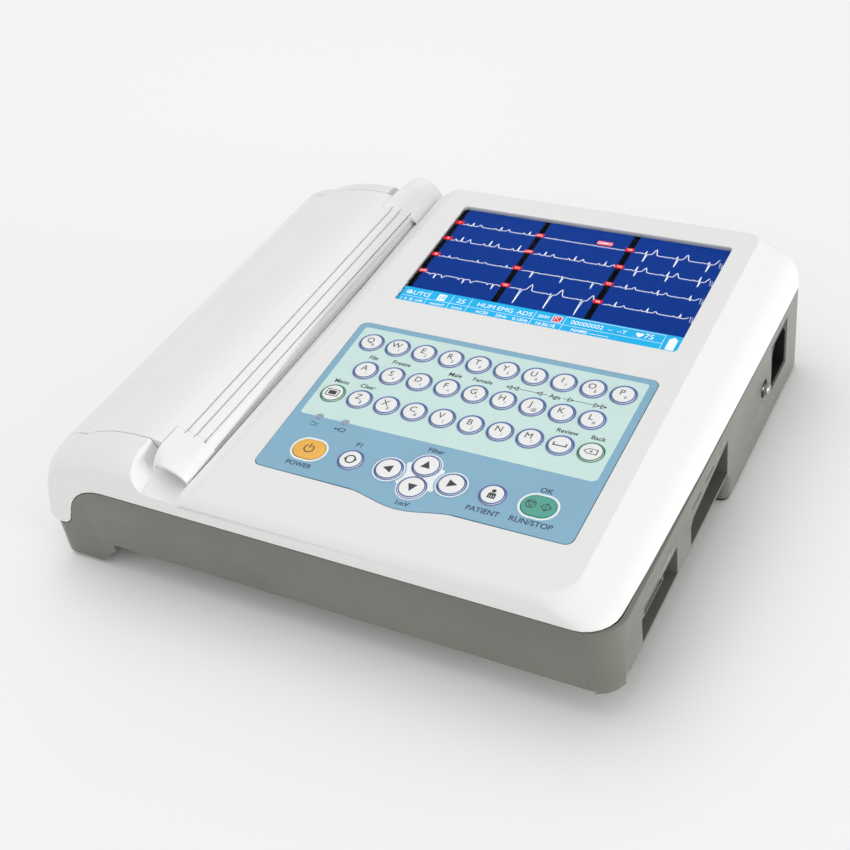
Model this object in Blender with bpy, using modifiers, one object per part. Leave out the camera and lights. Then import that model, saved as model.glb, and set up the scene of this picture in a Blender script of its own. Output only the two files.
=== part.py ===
"""A table-top twelve-channel ECG machine with a built-in thermal printer.

Sizes and places in this script are millimetres; the helpers build in metres.
Frame: X to the right, Y to the rear, Z up. The origin is the middle of the overall
box, on the surface that the feet stand on.
"""

from math import atan2, cos, pi, radians, sin, sqrt, tan

import bmesh
import bpy
from mathutils import Matrix, Vector

MM = 0.001
GAP = 0.3

# Overall body
LEFT, RIGHT = -153.5, 150.5
FRONT, REAR = -137.5, 129.5
WALL = 2.5
PARTING = 52.0
FRONT_UNDERSIDE = 16.5
PLINTH_UNDERSIDE = 11.5
REAR_UNDERSIDE = 2.0
REAR_SECTION_FRONT = 7.5

# Sloping console: its frame has its origin at the first letter key
TILT = radians(3.0)
CONSOLE_ORIGIN = (-29.5, -9.5, 70.0)
CONSOLE_WALL = 4.0
CONSOLE_LEFT = -64.5
# The console's rounded edge: depth below its surface, and how far each side is drawn in there
CONSOLE_EDGE = [
    (0.0, 22.0, 6.0, 2.0),
    (0.5, 21.1, 3.6, 0.7),
    (1.2, 19.8, 2.4, 0.2),
    (2.2, 17.9, 1.4, 0.0),
    (3.6, 15.2, 0.5, 0.0),
    (6.0, 10.2, 0.0, 0.0),
    (8.0, 6.3, 0.0, 0.0),
    (10.5, 3.7, 0.0, 0.0),
    (13.5, 1.6, 0.0, 0.0),
    (17.0, 0.5, 0.0, 0.0),
    (22.0, 0.0, 0.0, 0.0),
    (35.0, 0.0, 0.0, 0.0),
]

# Keypad, in the console's frame
KEY_PITCH = 15.0
KEY_RADIUS = 5.8
KEY_PROUD = 0.6
KEY_TRAVEL = 0.5
OVERLAY_THICKNESS = 2.0
OVERLAY_LEFT, OVERLAY_RIGHT = -12.6, 148.0
OVERLAY_TOP, OVERLAY_BOTTOM = 14.0, -95.2
OVERLAY_BULGE = 4.8
BULGE_CENTRE, BULGE_HALF = 66.0, 29.0

# Display, in the console's frame
SCREEN_LEFT, SCREEN_RIGHT = -6.5, 147.3
SCREEN_BOTTOM, SCREEN_TOP = 36.7, 123.3

# Printer side
DOOR_FRONT, DOOR_REAR = -115.5, 116.5
DOOR_GAP = 0.4
DOOR_RIGHT = -65.6
DOOR_EDGE_LOW = 60.8
HINGE_X, HINGE_Z = -146.0, 30.5
HINGE_EDGE_RADIUS = 7.5
TRUNNION_RADIUS = 2.0
SHOULDER_X, SHOULDER_Z, SHOULDER_RADIUS = -131.5, 45.0, 22.0
ARM_X, ARM_Z, ARM_RADIUS = -111.5, 25.0, 27.0
RIDGE = [(-125.5, 70.0), (-113.5, 73.8), (-101.5, 75.3), (-90.5, 75.4), (-83.5, 74.0)]
STRIP_SLOPE = -0.26
GROOVES = (-79.2, -74.3, -68.1)
TAB_LEFT = -84.2
FRONT_TAB_RIGHT, REAR_TAB_RIGHT = -64.9, -61.8
FRONT_TAB_END, REAR_TAB_END = -127.5, 137.5
TAB_THICKNESS = 2.0
TAB_RAISED = 0.3

# Printer mechanism
PLATEN_X, PLATEN_Z = -78.7, 56.0
PLATEN_RADIUS = 7.5
PLATEN_SHAFT_RADIUS = 3.0
GEAR_MODULE = 1.0
PLATEN_TEETH, PINION_TEETH = 18, 14
GEAR_FRONT, GEAR_REAR = 100.5, 106.0
ROLL_X, ROLL_Z, ROLL_RADIUS = -111.5, 38.5, 23.0

# Right side sockets
PATIENT_POCKET = (-108.0, -64.0, 37.5, 37.5)
DATA_POCKET = (-45.7, 6.7, 35.6, 41.5)
POCKET_FLOOR = 20.8
POCKET_DEPTH = 8.0
SIDE_UNDERSIDE = 19.3
INLET_Y, INLET_Z = (77.0, 103.5), (18.0, 46.2)
STUD_Y, STUD_Z = 65.2, 28.6


def clear_scene():
    for old in list(bpy.data.objects):
        bpy.data.objects.remove(old)


def collection(name):
    group = bpy.data.collections.new(name)
    bpy.context.scene.collection.children.link(group)
    return group


def material(name, color, roughness, metallic=0.0):
    made = bpy.data.materials.new(name)
    made.use_nodes = True
    shader = made.node_tree.nodes["Principled BSDF"]
    shader.inputs["Base Color"].default_value = (*color, 1.0)
    shader.inputs["Roughness"].default_value = roughness
    shader.inputs["Metallic"].default_value = metallic
    return made


def new_object(name, mesh):
    made = bpy.data.objects.new(name, mesh)
    bpy.context.scene.collection.objects.link(made)
    return made


def from_bmesh(name, shape):
    bmesh.ops.recalc_face_normals(shape, faces=shape.faces)
    mesh = bpy.data.meshes.new(name)
    shape.to_mesh(mesh)
    shape.free()
    return new_object(name, mesh)


def box(name, low, high):
    shape = bmesh.new()
    bmesh.ops.create_cube(shape, size=1.0)
    size = [(b - a) * MM for a, b in zip(low, high)]
    middle = [(a + b) / 2 * MM for a, b in zip(low, high)]
    bmesh.ops.scale(shape, vec=size, verts=shape.verts)
    bmesh.ops.translate(shape, vec=middle, verts=shape.verts)
    return from_bmesh(name, shape)


TURNS = {
    "X": Matrix.Rotation(pi / 2, 4, "Y"),
    "Y": Matrix.Rotation(-pi / 2, 4, "X"),
    "Z": Matrix.Identity(4),
}


def cylinder(name, radius, centre, low, high, axis="Y", segments=24):
    """A cylinder along an axis. centre gives the two other coordinates, in X, Y, Z order."""
    shape = bmesh.new()
    bmesh.ops.create_cone(
        shape,
        cap_ends=True,
        segments=segments,
        radius1=radius * MM,
        radius2=radius * MM,
        depth=(high - low) * MM,
    )
    place = list(centre)
    place.insert("XYZ".index(axis), (low + high) / 2)
    bmesh.ops.transform(shape, matrix=TURNS[axis], verts=shape.verts)
    bmesh.ops.translate(shape, vec=[p * MM for p in place], verts=shape.verts)
    return from_bmesh(name, shape)


PLANES = {
    "XY": (Matrix(((1, 0, 0, 0), (0, 1, 0, 0), (0, 0, 1, 0), (0, 0, 0, 1))), 1),
    "XZ": (Matrix(((1, 0, 0, 0), (0, 0, -1, 0), (0, 1, 0, 0), (0, 0, 0, 1))), -1),
    "YZ": (Matrix(((0, 0, 1, 0), (1, 0, 0, 0), (0, 1, 0, 0), (0, 0, 0, 1))), 1),
}


def outline_solid(name, outlines, low, high, plane="XY"):
    """A flat outline, with further outlines as holes, extruded between two levels."""
    if not isinstance(outlines[0], list):
        outlines = [outlines]
    curve = bpy.data.curves.new(name, "CURVE")
    curve.dimensions = "2D"
    curve.fill_mode = "BOTH"
    curve.extrude = (high - low) / 2 * MM
    for points in outlines:
        spline = curve.splines.new("POLY")
        spline.points.add(len(points) - 1)
        for point, (across, up) in zip(spline.points, points):
            point.co = (across * MM, up * MM, 0, 1)
        spline.use_cyclic_u = True
    flat = new_object(name, curve)
    turn, sign = PLANES[plane]
    bpy.context.view_layer.update()
    mesh = bpy.data.meshes.new_from_object(flat.evaluated_get(bpy.context.evaluated_depsgraph_get()))
    shape = bmesh.new()
    shape.from_mesh(mesh)
    bmesh.ops.remove_doubles(shape, verts=shape.verts, dist=1e-6)
    bmesh.ops.translate(shape, vec=(0, 0, sign * (low + high) / 2 * MM), verts=shape.verts)
    bmesh.ops.transform(shape, matrix=turn, verts=shape.verts)
    bpy.data.objects.remove(flat)
    bpy.data.meshes.remove(mesh)
    return from_bmesh(name, shape)


def loft(name, sections):
    """A closed solid through sections, each a list of as many corner points."""
    shape = bmesh.new()
    rings = [[shape.verts.new([c * MM for c in point]) for point in section] for section in sections]
    for first, second in zip(rings, rings[1:]):
        for i in range(len(first)):
            j = (i + 1) % len(first)
            shape.faces.new((first[i], first[j], second[j], second[i]))
    shape.faces.new(rings[0])
    shape.faces.new(rings[-1])
    return from_bmesh(name, shape)


def combine(target, tool, operation):
    """Applies a Boolean of tool to target's mesh and removes tool."""
    boolean = target.modifiers.new(operation, "BOOLEAN")
    boolean.operation = operation
    boolean.solver = "EXACT"
    boolean.object = tool
    bpy.context.view_layer.update()
    graph = bpy.context.evaluated_depsgraph_get()
    mesh = bpy.data.meshes.new_from_object(target.evaluated_get(graph))
    target.modifiers.clear()
    target.data = mesh
    bpy.data.objects.remove(tool)
    return target


def add(target, *tools):
    for tool in tools:
        combine(target, tool, "UNION")
    return target


def cut(target, *tools):
    for tool in tools:
        combine(target, tool, "DIFFERENCE")
    return target


def keep_inside(target, *tools):
    for tool in tools:
        combine(target, tool, "INTERSECT")
    return target


def arc(centre, radius, start, end, steps):
    """Points on a circular arc between two angles in degrees."""
    angles = [radians(start + (end - start) * i / steps) for i in range(steps + 1)]
    return [(centre[0] + radius * cos(a), centre[1] + radius * sin(a)) for a in angles]


def rounded_box(left, right, bottom, top, radii, steps=5):
    """A rectangle's outline with a radius at its bottom-left, bottom-right, top-right and top-left."""
    corners = [
        ((left, bottom), (1, 1), 180),
        ((right, bottom), (-1, 1), 270),
        ((right, top), (-1, -1), 0),
        ((left, top), (1, -1), 90),
    ]
    points = []
    for ((x, y), (dx, dy), start), radius in zip(corners, radii):
        if radius:
            points += arc((x + dx * radius, y + dy * radius), radius, start, start + 90, steps)
        else:
            points.append((x, y))
    return points


def console_matrix():
    return Matrix.Translation([c * MM for c in CONSOLE_ORIGIN]) @ Matrix.Rotation(TILT, 4, "X")


def on_console(made):
    """Moves a mesh built in the console's frame to its place."""
    made.data.transform(console_matrix())
    return made


def console_height(y):
    return CONSOLE_ORIGIN[2] + (y - CONSOLE_ORIGIN[1]) * tan(TILT)


def finish(made, group, look, origin=None, angle=40.0):
    """Puts a finished piece in its collection, with its material and its origin in place."""
    if origin is not None:
        offset = Vector([c * MM for c in origin])
        made.data.transform(Matrix.Translation(-offset))
        made.location = offset
    made.data.materials.clear()
    made.data.materials.append(look)
    made.data.shade_smooth()
    made.data.set_sharp_from_angle(angle=radians(angle))
    for other in made.users_collection:
        other.objects.unlink(made)
    group.objects.link(made)
    return made


# ---------------------------------------------------------------- outlines of the printer side


def strip_height(x):
    """Height of the ribbed strip along the door's right edge."""
    return RIDGE[-1][1] + STRIP_SLOPE * (x - RIDGE[-1][0])


def cover_outline(inset=0.0, right=-58.0):
    """The printer side's outer line, from the hinge edge over the top, as (x, z) points.

    The inset draws the line in, fully on top and less and less down the left side.
    """

    def fade(z):
        return min(1.0, max(0.0, (z - 24.0) / 28.0))

    points = arc((HINGE_X, HINGE_Z), HINGE_EDGE_RADIUS, 360, 180, 8)
    points = [(x + inset * fade(z) * (x < HINGE_X), z) for x, z in points]
    for degrees in range(180, 89, -15):
        a = radians(degrees)
        z = SHOULDER_Z + SHOULDER_RADIUS * sin(a)
        reach = SHOULDER_RADIUS - inset * fade(z)
        points.append((SHOULDER_X + reach * cos(a), SHOULDER_Z + reach * sin(a)))
    points += [(x, z - inset) for x, z in RIDGE]
    points.append((right, strip_height(right) - inset))
    return points


def arm_outline(radius, steps=8):
    """The concave line under the shoulders, where they wrap around the base."""
    return arc((ARM_X, ARM_Z), radius, 90, 168, steps)


def shoulder(name, seam, end, drop):
    """The white block between the door and the front or rear face, rounded towards that face."""
    sections = []
    for share in (0.0, 0.35, 0.6, 0.78, 0.9, 0.97, 1.0):
        inset = drop * (1 - sqrt(1 - share * share))
        y = seam + (end - seam) * share
        foot = [(-81.0, 66.0 - inset / 2), (-58.0, 60.5 - 0.5 * inset), (-58.0, PARTING)]
        section = cover_outline(inset)[:-1] + foot + arm_outline(ARM_RADIUS)
        sections.append([(x, y, z) for x, z in section])
    return loft(name, sections)


# ---------------------------------------------------------------- housings


def plan_solid(name, inset, low, high, left=LEFT):
    """The body's rounded rectangle seen from above."""
    radii = [6 - inset, 15 - inset, 8 - inset, 6 - inset]
    outline = rounded_box(left + inset, RIGHT - inset, FRONT + inset, REAR - inset, radii)
    return outline_solid(name, outline, low, high)


def console_block(name, inset, left):
    """The sloping console: level by level its outline draws in towards the top, most at the right."""
    skin = CONSOLE_WALL if inset else 0.0
    sections = []
    for depth, from_right, from_front, from_rear in CONSOLE_EDGE:
        right = RIGHT - inset - from_right
        front, rear = FRONT + inset + from_front, REAR - inset - from_rear
        outline = rounded_box(left, right, front, rear, [0, 15 - inset, 8 - inset, 0], 6)
        sections.append([(x, y, console_height(y) - skin - depth) for x, y in outline])
    block = loft(name, sections)
    if inset == 0:
        cut(block, box("below the seam", (left - 1, FRONT - 1, 20), (RIGHT + 1, REAR + 1, PARTING)))
    return block


def wedge(name, shift):
    """What is cut away to slope the console down to the door's seam."""
    sections = []
    for y, crease in ((FRONT - 5, -57.8), (REAR + 5, -47.8)):
        top = console_height(y)
        low = 65.0 + 0.0085 * y
        fall = (low - top) / (CONSOLE_LEFT - crease)
        far = CONSOLE_LEFT - 15
        corners = [(crease, top), (far, top + fall * (far - crease)), (far, top + 40), (crease, top + 40)]
        sections.append([(x + shift, y, z - shift) for x, z in corners])
    return loft(name, sections)


def tab_channel(name, front):
    """The finger space under a tab: its left side slopes so that the tab can swing out."""
    right = (FRONT_TAB_RIGHT if front else REAR_TAB_RIGHT) + 0.4
    inner, outer = (DOOR_FRONT + 0.5, FRONT - 3) if front else (DOOR_REAR - 13.4, REAR + 3)
    sections = []
    for y, fall in ((inner, 4.4), (outer, 1.6)):
        floor = 63.6 + 0.23 * (y + 124.5) if front else 60.5
        foot, top = TAB_LEFT - 1.2, TAB_LEFT - (14.4 if front else 8.7)
        corners = [(foot, floor), (right, floor - fall), (right, 90), (top, 90)]
        sections.append([(x, y, z) for x, z in corners])
    space = loft(name, sections)
    if not front:
        cut(space, box("door's own space", (-110, 100, 40), (CONSOLE_LEFT - 0.3, DOOR_REAR - 0.5, 101)))
    return space


def shoulder_cavity(name, low, high):
    top = [(x, z - 5.5) for x, z in RIDGE if x < -92]
    outline = [(-92, 40), (-92, 69.5)] + top[::-1] + [(-130, 61), (-130, 40)]
    return outline_solid(name, outline, low, high, "XZ")


def overlay_outline(grow=0.0):
    """The keypad overlay's outline: a rounded rectangle whose lower edge swells by the arrow keys."""
    left, right = OVERLAY_LEFT - grow, OVERLAY_RIGHT + grow
    top, bottom, radius = OVERLAY_TOP + grow, OVERLAY_BOTTOM - grow, 4.0
    points = arc((left + radius, bottom + radius), radius, 180, 270, 4)
    for i in range(1, 12):
        share = -1 + i / 6
        swell = OVERLAY_BULGE * (1 + cos(pi * share)) / 2
        points.append((BULGE_CENTRE + share * BULGE_HALF, bottom - swell))
    points += arc((right - radius, bottom + radius), radius, 270, 360, 4)
    points += arc((right - radius, top - radius), radius, 0, 90, 4)
    points += arc((left + radius, top - radius), radius, 90, 180, 4)
    return points


def top_housing():
    body = console_block("top_housing", 0.0, CONSOLE_LEFT)
    cut(body, wedge("wedge", 0.0))
    add(body, shoulder("front shoulder", DOOR_FRONT, FRONT, 10.0))
    add(body, shoulder("rear shoulder", DOOR_REAR, REAR, 6.0))
    hollow = console_block("hollow", WALL, -55.0)
    cut(body, cut(hollow, wedge("hollow wedge", 2.3)))
    cut(body, box("bay side", (-70, DOOR_FRONT + 3, 40), (-50, DOOR_REAR - 3, 59.7)))
    cut(body, shoulder_cavity("front cavity", -129.5, DOOR_FRONT - WALL))
    cut(body, shoulder_cavity("rear cavity", DOOR_REAR + WALL, 126.0))
    cut(body, tab_channel("front channel", True), tab_channel("rear channel", False))
    across, up = (SCREEN_LEFT - GAP, SCREEN_RIGHT + GAP), (SCREEN_BOTTOM - GAP, SCREEN_TOP + GAP)
    screen = rounded_box(*across, *up, [2] * 4, 3)
    cut(body, on_console(outline_solid("screen opening", screen, -15, 15)))
    recess = overlay_outline(GAP)
    cut(body, on_console(outline_solid("keypad recess", recess, -OVERLAY_THICKNESS - GAP, 15)))
    for low, high in ((DOOR_FRONT - 4, DOOR_FRONT + 2), (DOOR_REAR - 2, DOOR_REAR + 4)):
        cut(body, cylinder("trunnion hole", TRUNNION_RADIUS + 0.4, (HINGE_X, HINGE_Z), low, high))
    return body


def base_section():
    """The base seen from the front: flat on top, hollowed at the left around the shoulders' arms."""
    points = [(RIGHT, FRONT_UNDERSIDE), (RIGHT, PARTING - GAP)]
    points += arm_outline(ARM_RADIUS - DOOR_GAP)
    points += arc((HINGE_X, HINGE_Z), HINGE_EDGE_RADIUS + DOOR_GAP, -10, -90, 5)
    points += [(LEFT + 2, 22.3), (LEFT + 2, FRONT_UNDERSIDE)]
    return points[::-1]


def pocket_outline(pocket, grow=0.0):
    """A side pocket's outline as (y, z) points, grown by the thickness of its walls."""
    front, rear, front_top, rear_top = pocket
    floor = POCKET_FLOOR if grow == 0 else 0
    points = [(front - grow, floor), (front - grow, front_top - 3), (front - grow + 3, front_top + grow)]
    return points + [(rear + grow, rear_top + grow), (rear + grow, floor)]


def bottom_housing():
    body = outline_solid("bottom_housing", base_section(), FRONT, REAR, "XZ")
    keep_inside(body, plan_solid("plan", 0.0, 0, 60, left=LEFT + 2))
    add(body, box("plinth", (-140, -133, PLINTH_UNDERSIDE), (135.5, 10, FRONT_UNDERSIDE + 1)))
    rear = rounded_box(LEFT + 2, RIGHT, REAR_SECTION_FRONT, REAR, [5, 5, 8, 6])
    add(body, outline_solid("rear section", rear, REAR_UNDERSIDE, FRONT_UNDERSIDE + 1))
    leg = [(-151.5, 17), (-149.2, REAR_UNDERSIDE), (-125.9, REAR_UNDERSIDE)]
    leg += [(-120, 8.3), (-115.9, 11.7), (-115.9, 17)]
    leg_block = outline_solid("leg", leg, FRONT, -108, "XZ")
    add(body, keep_inside(leg_block, plan_solid("plan", 0.0, 0, 60, left=LEFT + 2)))

    low, high = FRONT_UNDERSIDE - 2, FRONT_UNDERSIDE + 1
    corner_pad = box("corner pad", (140, FRONT, low), (RIGHT + 1, -126.5, high))
    add(body, keep_inside(corner_pad, plan_solid("plan", -0.02, 0, 60)))
    cut(body, box("raised side", (RIGHT - 4, -126.0, 0), (RIGHT + 1, REAR_SECTION_FRONT, SIDE_UNDERSIDE)))

    inner = LEFT + 2 + WALL
    hollow = plan_solid("hollow", WALL, FRONT_UNDERSIDE + WALL, 70, left=LEFT + 2)
    add(hollow, box("plinth hollow", (-137, -130.5, PLINTH_UNDERSIDE + WALL), (133, 11, 30)))
    rear_inside = rounded_box(inner + 0.1, RIGHT - WALL - 0.1, 10, REAR - WALL - 0.1, [2.5, 2.5, 5.5, 3.5])
    add(hollow, outline_solid("rear hollow", rear_inside, REAR_UNDERSIDE + WALL, 30))
    for pocket in (PATIENT_POCKET, DATA_POCKET):
        outline, depth = pocket_outline(pocket, WALL), POCKET_DEPTH + WALL
        cut(hollow, outline_solid("pocket wall", outline, RIGHT - depth, RIGHT, "YZ"))
    cut(hollow, box("sill", (RIGHT - 7, -129, 0), (RIGHT, 10, SIDE_UNDERSIDE + WALL)))
    cut(hollow, box("stud boss", (140, STUD_Y - 7, STUD_Z - 7), (RIGHT, STUD_Y + 7, STUD_Z + 7)))
    cut(hollow, box("partition", (-55.5, FRONT, 0), (-53.5, REAR, 60)))
    cut(hollow, box("head wall", (-63.5, -107, 0), (-61.5, 96, 49.7)))
    for low, high in ((-111.0, -108.5), (109.0, 111.5)):
        cheek = box("cheek", (-130, low, 0), (-92, high, 46))
        cut(cheek, box("spindle slot", (ROLL_X - 4.6, low - 1, ROLL_Z), (ROLL_X + 4.6, high + 1, 60)))
        cut(cheek, cylinder("spindle seat", 4.6, (ROLL_X, ROLL_Z), low - 1, high + 1))
        cut(hollow, cheek)
    for x in (-35, 125):
        for y in (-100, -14):
            cut(hollow, cylinder("board post", 3, (x, y), 0, 25.7, "Z", 12))
    cut(body, hollow)
    for pocket in (PATIENT_POCKET, DATA_POCKET):
        cut(body, outline_solid("pocket", pocket_outline(pocket), RIGHT - POCKET_DEPTH, RIGHT + 5, "YZ"))

    front, rear = INLET_Y[0] - GAP, INLET_Y[1] + GAP
    cut(body, box("inlet opening", (140, front, INLET_Z[0] - GAP), (160, rear, INLET_Z[1] + GAP)))
    cut(body, box("socket opening", (135, -99.3, 24.4), (146, -72.7, 33.6)))
    cut(body, cylinder("stud recess", 5, (STUD_Y, STUD_Z), RIGHT - 4, RIGHT + 5, "X"))
    cut(body, cylinder("stud hole", 2.4, (STUD_Y, STUD_Z), 130, RIGHT, "X"))
    cut(body, box("battery opening", (-45, 20, -5), (50, 85, 8)))
    return body


# ---------------------------------------------------------------- door


def strip_fall(x, edge):
    """How far the strip's rounded right shoulder falls below its slope, near the edge at x."""
    reach = min(1.0, max(0.0, 1 - (edge - x) / 3.6))
    return 5.2 * (1 - sqrt(1 - reach * reach))


def tab(name, front):
    """A finger tab: it goes on from the ribbed strip and arches over the finger space."""
    right = FRONT_TAB_RIGHT if front else REAR_TAB_RIGHT
    seam, end = (DOOR_FRONT, FRONT_TAB_END) if front else (DOOR_REAR, REAR_TAB_END)
    lift, drop = (0.6, 9.6) if front else (3.2, 8.5)
    side = 1 if front else -1
    middle, half = (TAB_LEFT + right) / 2, (right - TAB_LEFT) / 2
    across = [-1, -0.93, -0.8, -0.6, -0.3, 0, 0.3, 0.6, 0.8, 0.93, 1]
    rows = []
    for y, share in ((seam + side * 13, 0.0), (seam, 0.0), (0, 0.08), (0, 0.3), (0, 0.62), (0, 1.0)):
        reach = {0.08: 0.3, 0.3: 0.6, 0.62: 0.82, 1.0: 1.0}.get(share)
        top, low = [], []
        for t in across:
            x = middle + half * t
            place = y if reach is None else seam + (end - seam) * reach * (1 - 0.12 * reach * t * t)
            flat = strip_height(x) - strip_fall(x, right)
            arch = strip_height(x) + lift - drop * (1 - sqrt(1 - t * t))
            z = flat + (arch - flat) * share + TAB_RAISED
            top.append((x, place, z))
            inward = (0.3 + 1.3 * share * abs(t) ** 3) * t
            low.append((x - inward, place, z - TAB_THICKNESS * (1 - share * t**4) - 0.05))
        rows.append((top, low))
    return shell(name, rows)


def shell(name, rows):
    """A thin solid between two grids of points: each row is its top points and its bottom points."""
    made = bmesh.new()
    grids = [[[made.verts.new([c * MM for c in p]) for p in side] for side in row] for row in rows]
    count = len(rows[0][0])
    for (top, low), (next_top, next_low) in zip(grids, grids[1:]):
        for i in range(count - 1):
            made.faces.new((top[i], top[i + 1], next_top[i + 1], next_top[i]))
            made.faces.new((low[i], next_low[i], next_low[i + 1], low[i + 1]))
        for i in (0, -1):
            made.faces.new((top[i], next_top[i], next_low[i], low[i]))
    for top, low in (grids[0], grids[-1]):
        for i in range(count - 1):
            made.faces.new((top[i], low[i], low[i + 1], top[i + 1]))
    return from_bmesh(name, made)


def printer_door():
    low, high = DOOR_FRONT + DOOR_GAP, DOOR_REAR - DOOR_GAP
    rounding = [DOOR_RIGHT - offset for offset in (2.6, 1.6, 0.8, 0.2, 0.0)]
    edge = [(x, strip_height(x) - strip_fall(x, DOOR_RIGHT)) for x in rounding]
    edge.append((DOOR_RIGHT, DOOR_EDGE_LOW))
    underside = [(-72, 50.5), (-86, 50.5), (-128, 42), (-136, 36)]
    outline = cover_outline(0.0, DOOR_RIGHT - 3.6) + edge + underside
    body = outline_solid("printer_door", outline[::-1], low, high, "XZ")
    inner_radius = SHOULDER_RADIUS - WALL
    hollow = [(HINGE_X + 5, 36.5)] + arc((HINGE_X, HINGE_Z), HINGE_EDGE_RADIUS - WALL, 360, 180, 6)
    hollow += arc((SHOULDER_X, SHOULDER_Z), inner_radius, 180, 90, 6)
    hollow += [(x, z - WALL - 0.1) for x, z in RIDGE]
    right = DOOR_RIGHT - 2.2
    hollow += [(right - 1.2, strip_height(right) - WALL - 0.4), (right, 67.0), (right, DOOR_EDGE_LOW)]
    hollow += [(-60, DOOR_EDGE_LOW), (-60, 0), (-130, 0), (-130, 36.5)]
    cut(body, outline_solid("inside", hollow[::-1], low + WALL, high - WALL, "XZ"))
    for front in (True, False):
        add(body, tab("tab", front))
    for x in GROOVES:
        depth = strip_height(x)
        cut(body, box("groove", (x - 0.4, -104.5, depth - 0.6), (x + 0.4, 107.0, depth + 3)))
    for start, end in ((low - 3, low + 1), (high - 1, high + 3)):
        add(body, cylinder("trunnion", TRUNNION_RADIUS, (HINGE_X, HINGE_Z), start, end))
    for start, end in ((low - 1, low + 5), (high - 5, high + 1)):
        cut(body, cylinder("shaft hole", PLATEN_SHAFT_RADIUS + 0.35, (PLATEN_X, PLATEN_Z), start, end))
    return body


# ---------------------------------------------------------------- printer mechanism


def gear_outline(teeth, start):
    """A spur gear's outline with straight-sided teeth; start is a tooth's direction in radians."""
    pitch_radius = GEAR_MODULE * teeth / 2
    root, tip = pitch_radius - 1.15 * GEAR_MODULE, pitch_radius + 0.85 * GEAR_MODULE
    step = 2 * pi / teeth
    points = []
    for i in range(teeth):
        for radius, share in ((root, -0.28), (tip, -0.10), (tip, 0.10), (root, 0.28)):
            a = start + (i + share) * step
            points.append((radius * cos(a), radius * sin(a)))
    return points


def gear(name, teeth, start, centre, bore):
    outline = [(centre[0] + x, centre[1] + z) for x, z in gear_outline(teeth, start)]
    hole = arc(centre, bore, 0, 345, 23)
    return outline_solid(name, [outline, hole], GEAR_FRONT, GEAR_REAR, "XZ")


def gear_line():
    """The pinion's centre, straight below the platen against the door's opening movement."""
    reach = GEAR_MODULE * (PLATEN_TEETH + PINION_TEETH) / 2 + 0.1
    arm = Vector((PLATEN_X - HINGE_X, PLATEN_Z - HINGE_Z)).normalized()
    return (PLATEN_X + arm.y * reach, PLATEN_Z - arm.x * reach), atan2(-arm.x, arm.y)


def platen_roller():
    body = cylinder("platen_roller", PLATEN_RADIUS, (PLATEN_X, PLATEN_Z), -106, 97, segments=32)
    ends = DOOR_FRONT + DOOR_GAP + 0.5, DOOR_REAR - DOOR_GAP - 0.5
    return add(body, cylinder("shaft", PLATEN_SHAFT_RADIUS, (PLATEN_X, PLATEN_Z), *ends))


def drive_motor(centre):
    body = cylinder("drive_motor", 10, centre, 117.5, 126.7, segments=32)
    add(body, cylinder("collar", 4, centre, 116.5, 118, segments=20))
    return add(body, cylinder("shaft", 1.5, centre, 99.5, 117, segments=16))


def print_head():
    body = box("print_head", (-68.2, -106, 50.0), (-59.5, 97, 57.0))
    add(body, box("heater bar", (PLATEN_X + PLATEN_RADIUS + GAP, -104, 52.0), (-65, 95, 58.0)))
    return add(body, box("connector", (-60, -20, 51.0), (-57, 20, 56.0)))


def paper_roll():
    body = cylinder("paper_roll", ROLL_RADIUS, (ROLL_X, ROLL_Z), -107.5, 107.5, segments=40)
    return add(body, cylinder("spindle", 4, (ROLL_X, ROLL_Z), -112.2, 112.7))


# ---------------------------------------------------------------- display, keypad and electronics


def display_window():
    outline = rounded_box(SCREEN_LEFT, SCREEN_RIGHT, SCREEN_BOTTOM, SCREEN_TOP, [2] * 4, 3)
    return outline_solid("display_window", outline, -2.2, -1.0)


def lcd_panel():
    glass = rounded_box(SCREEN_LEFT, SCREEN_RIGHT, SCREEN_BOTTOM, SCREEN_TOP, [2] * 4, 3)
    body = outline_solid("lcd_panel", glass, -5.0, -2.5)
    frame = (SCREEN_LEFT - 5, SCREEN_BOTTOM - 6, -10.0), (SCREEN_RIGHT + 5, SCREEN_TOP + 2, -4.4)
    return add(body, box("lcd frame", *frame))


LETTER_ROWS = (("QWERTYUIOP", 0.0, 0.0), ("ASDFGHJKL", 7.47, -20.2), ("ZXCVBNM", 15.0, -40.3))
ROUND_KEYS = {
    "menu": (0.0, -40.3, KEY_RADIUS),
    "space": (120.0, -40.3, KEY_RADIUS),
    "back": (135.0, -40.3, KEY_RADIUS),
    "f1": (31.6, -79.0, KEY_RADIUS),
    "left": (51.7, -78.8, 6.4),
    "up": (67.6, -71.6, 6.4),
    "down": (67.3, -86.0, 6.4),
    "right": (83.8, -78.7, 6.4),
    "patient": (104.0, -78.7, KEY_RADIUS),
}
OVAL_KEYS = {"power": (9.0, -78.8), "run": (126.1, -78.6)}
OVAL_HALF_WIDTH, OVAL_HALF_HEIGHT = 8.1, 6.2


def key_places():
    """Each key's name, centre and outline around that centre."""
    places = []
    for letters, start, v in LETTER_ROWS:
        for i, letter in enumerate(letters):
            places.append((f"key_{letter.lower()}", (start + i * KEY_PITCH, v), KEY_RADIUS))
    for name, (u, v, radius) in ROUND_KEYS.items():
        places.append((f"key_{name}", (u, v), radius))
    for name, centre in OVAL_KEYS.items():
        places.append((f"key_{name}", centre, None))
    return places


def key_outline(radius, grow=0.0):
    if radius is None:
        wide, high = OVAL_HALF_WIDTH + grow, OVAL_HALF_HEIGHT + grow
        return rounded_box(-wide, wide, -high, high, [high * 0.98] * 4, 4)
    return arc((0, 0), radius + grow, 0, 337.5, 15)


def keypad_overlay():
    holes = [[(u + x, v + y) for x, y in key_outline(radius, GAP)] for _, (u, v), radius in key_places()]
    return outline_solid("keypad_overlay", [overlay_outline()] + holes, -OVERLAY_THICKNESS, 0.0)


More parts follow.
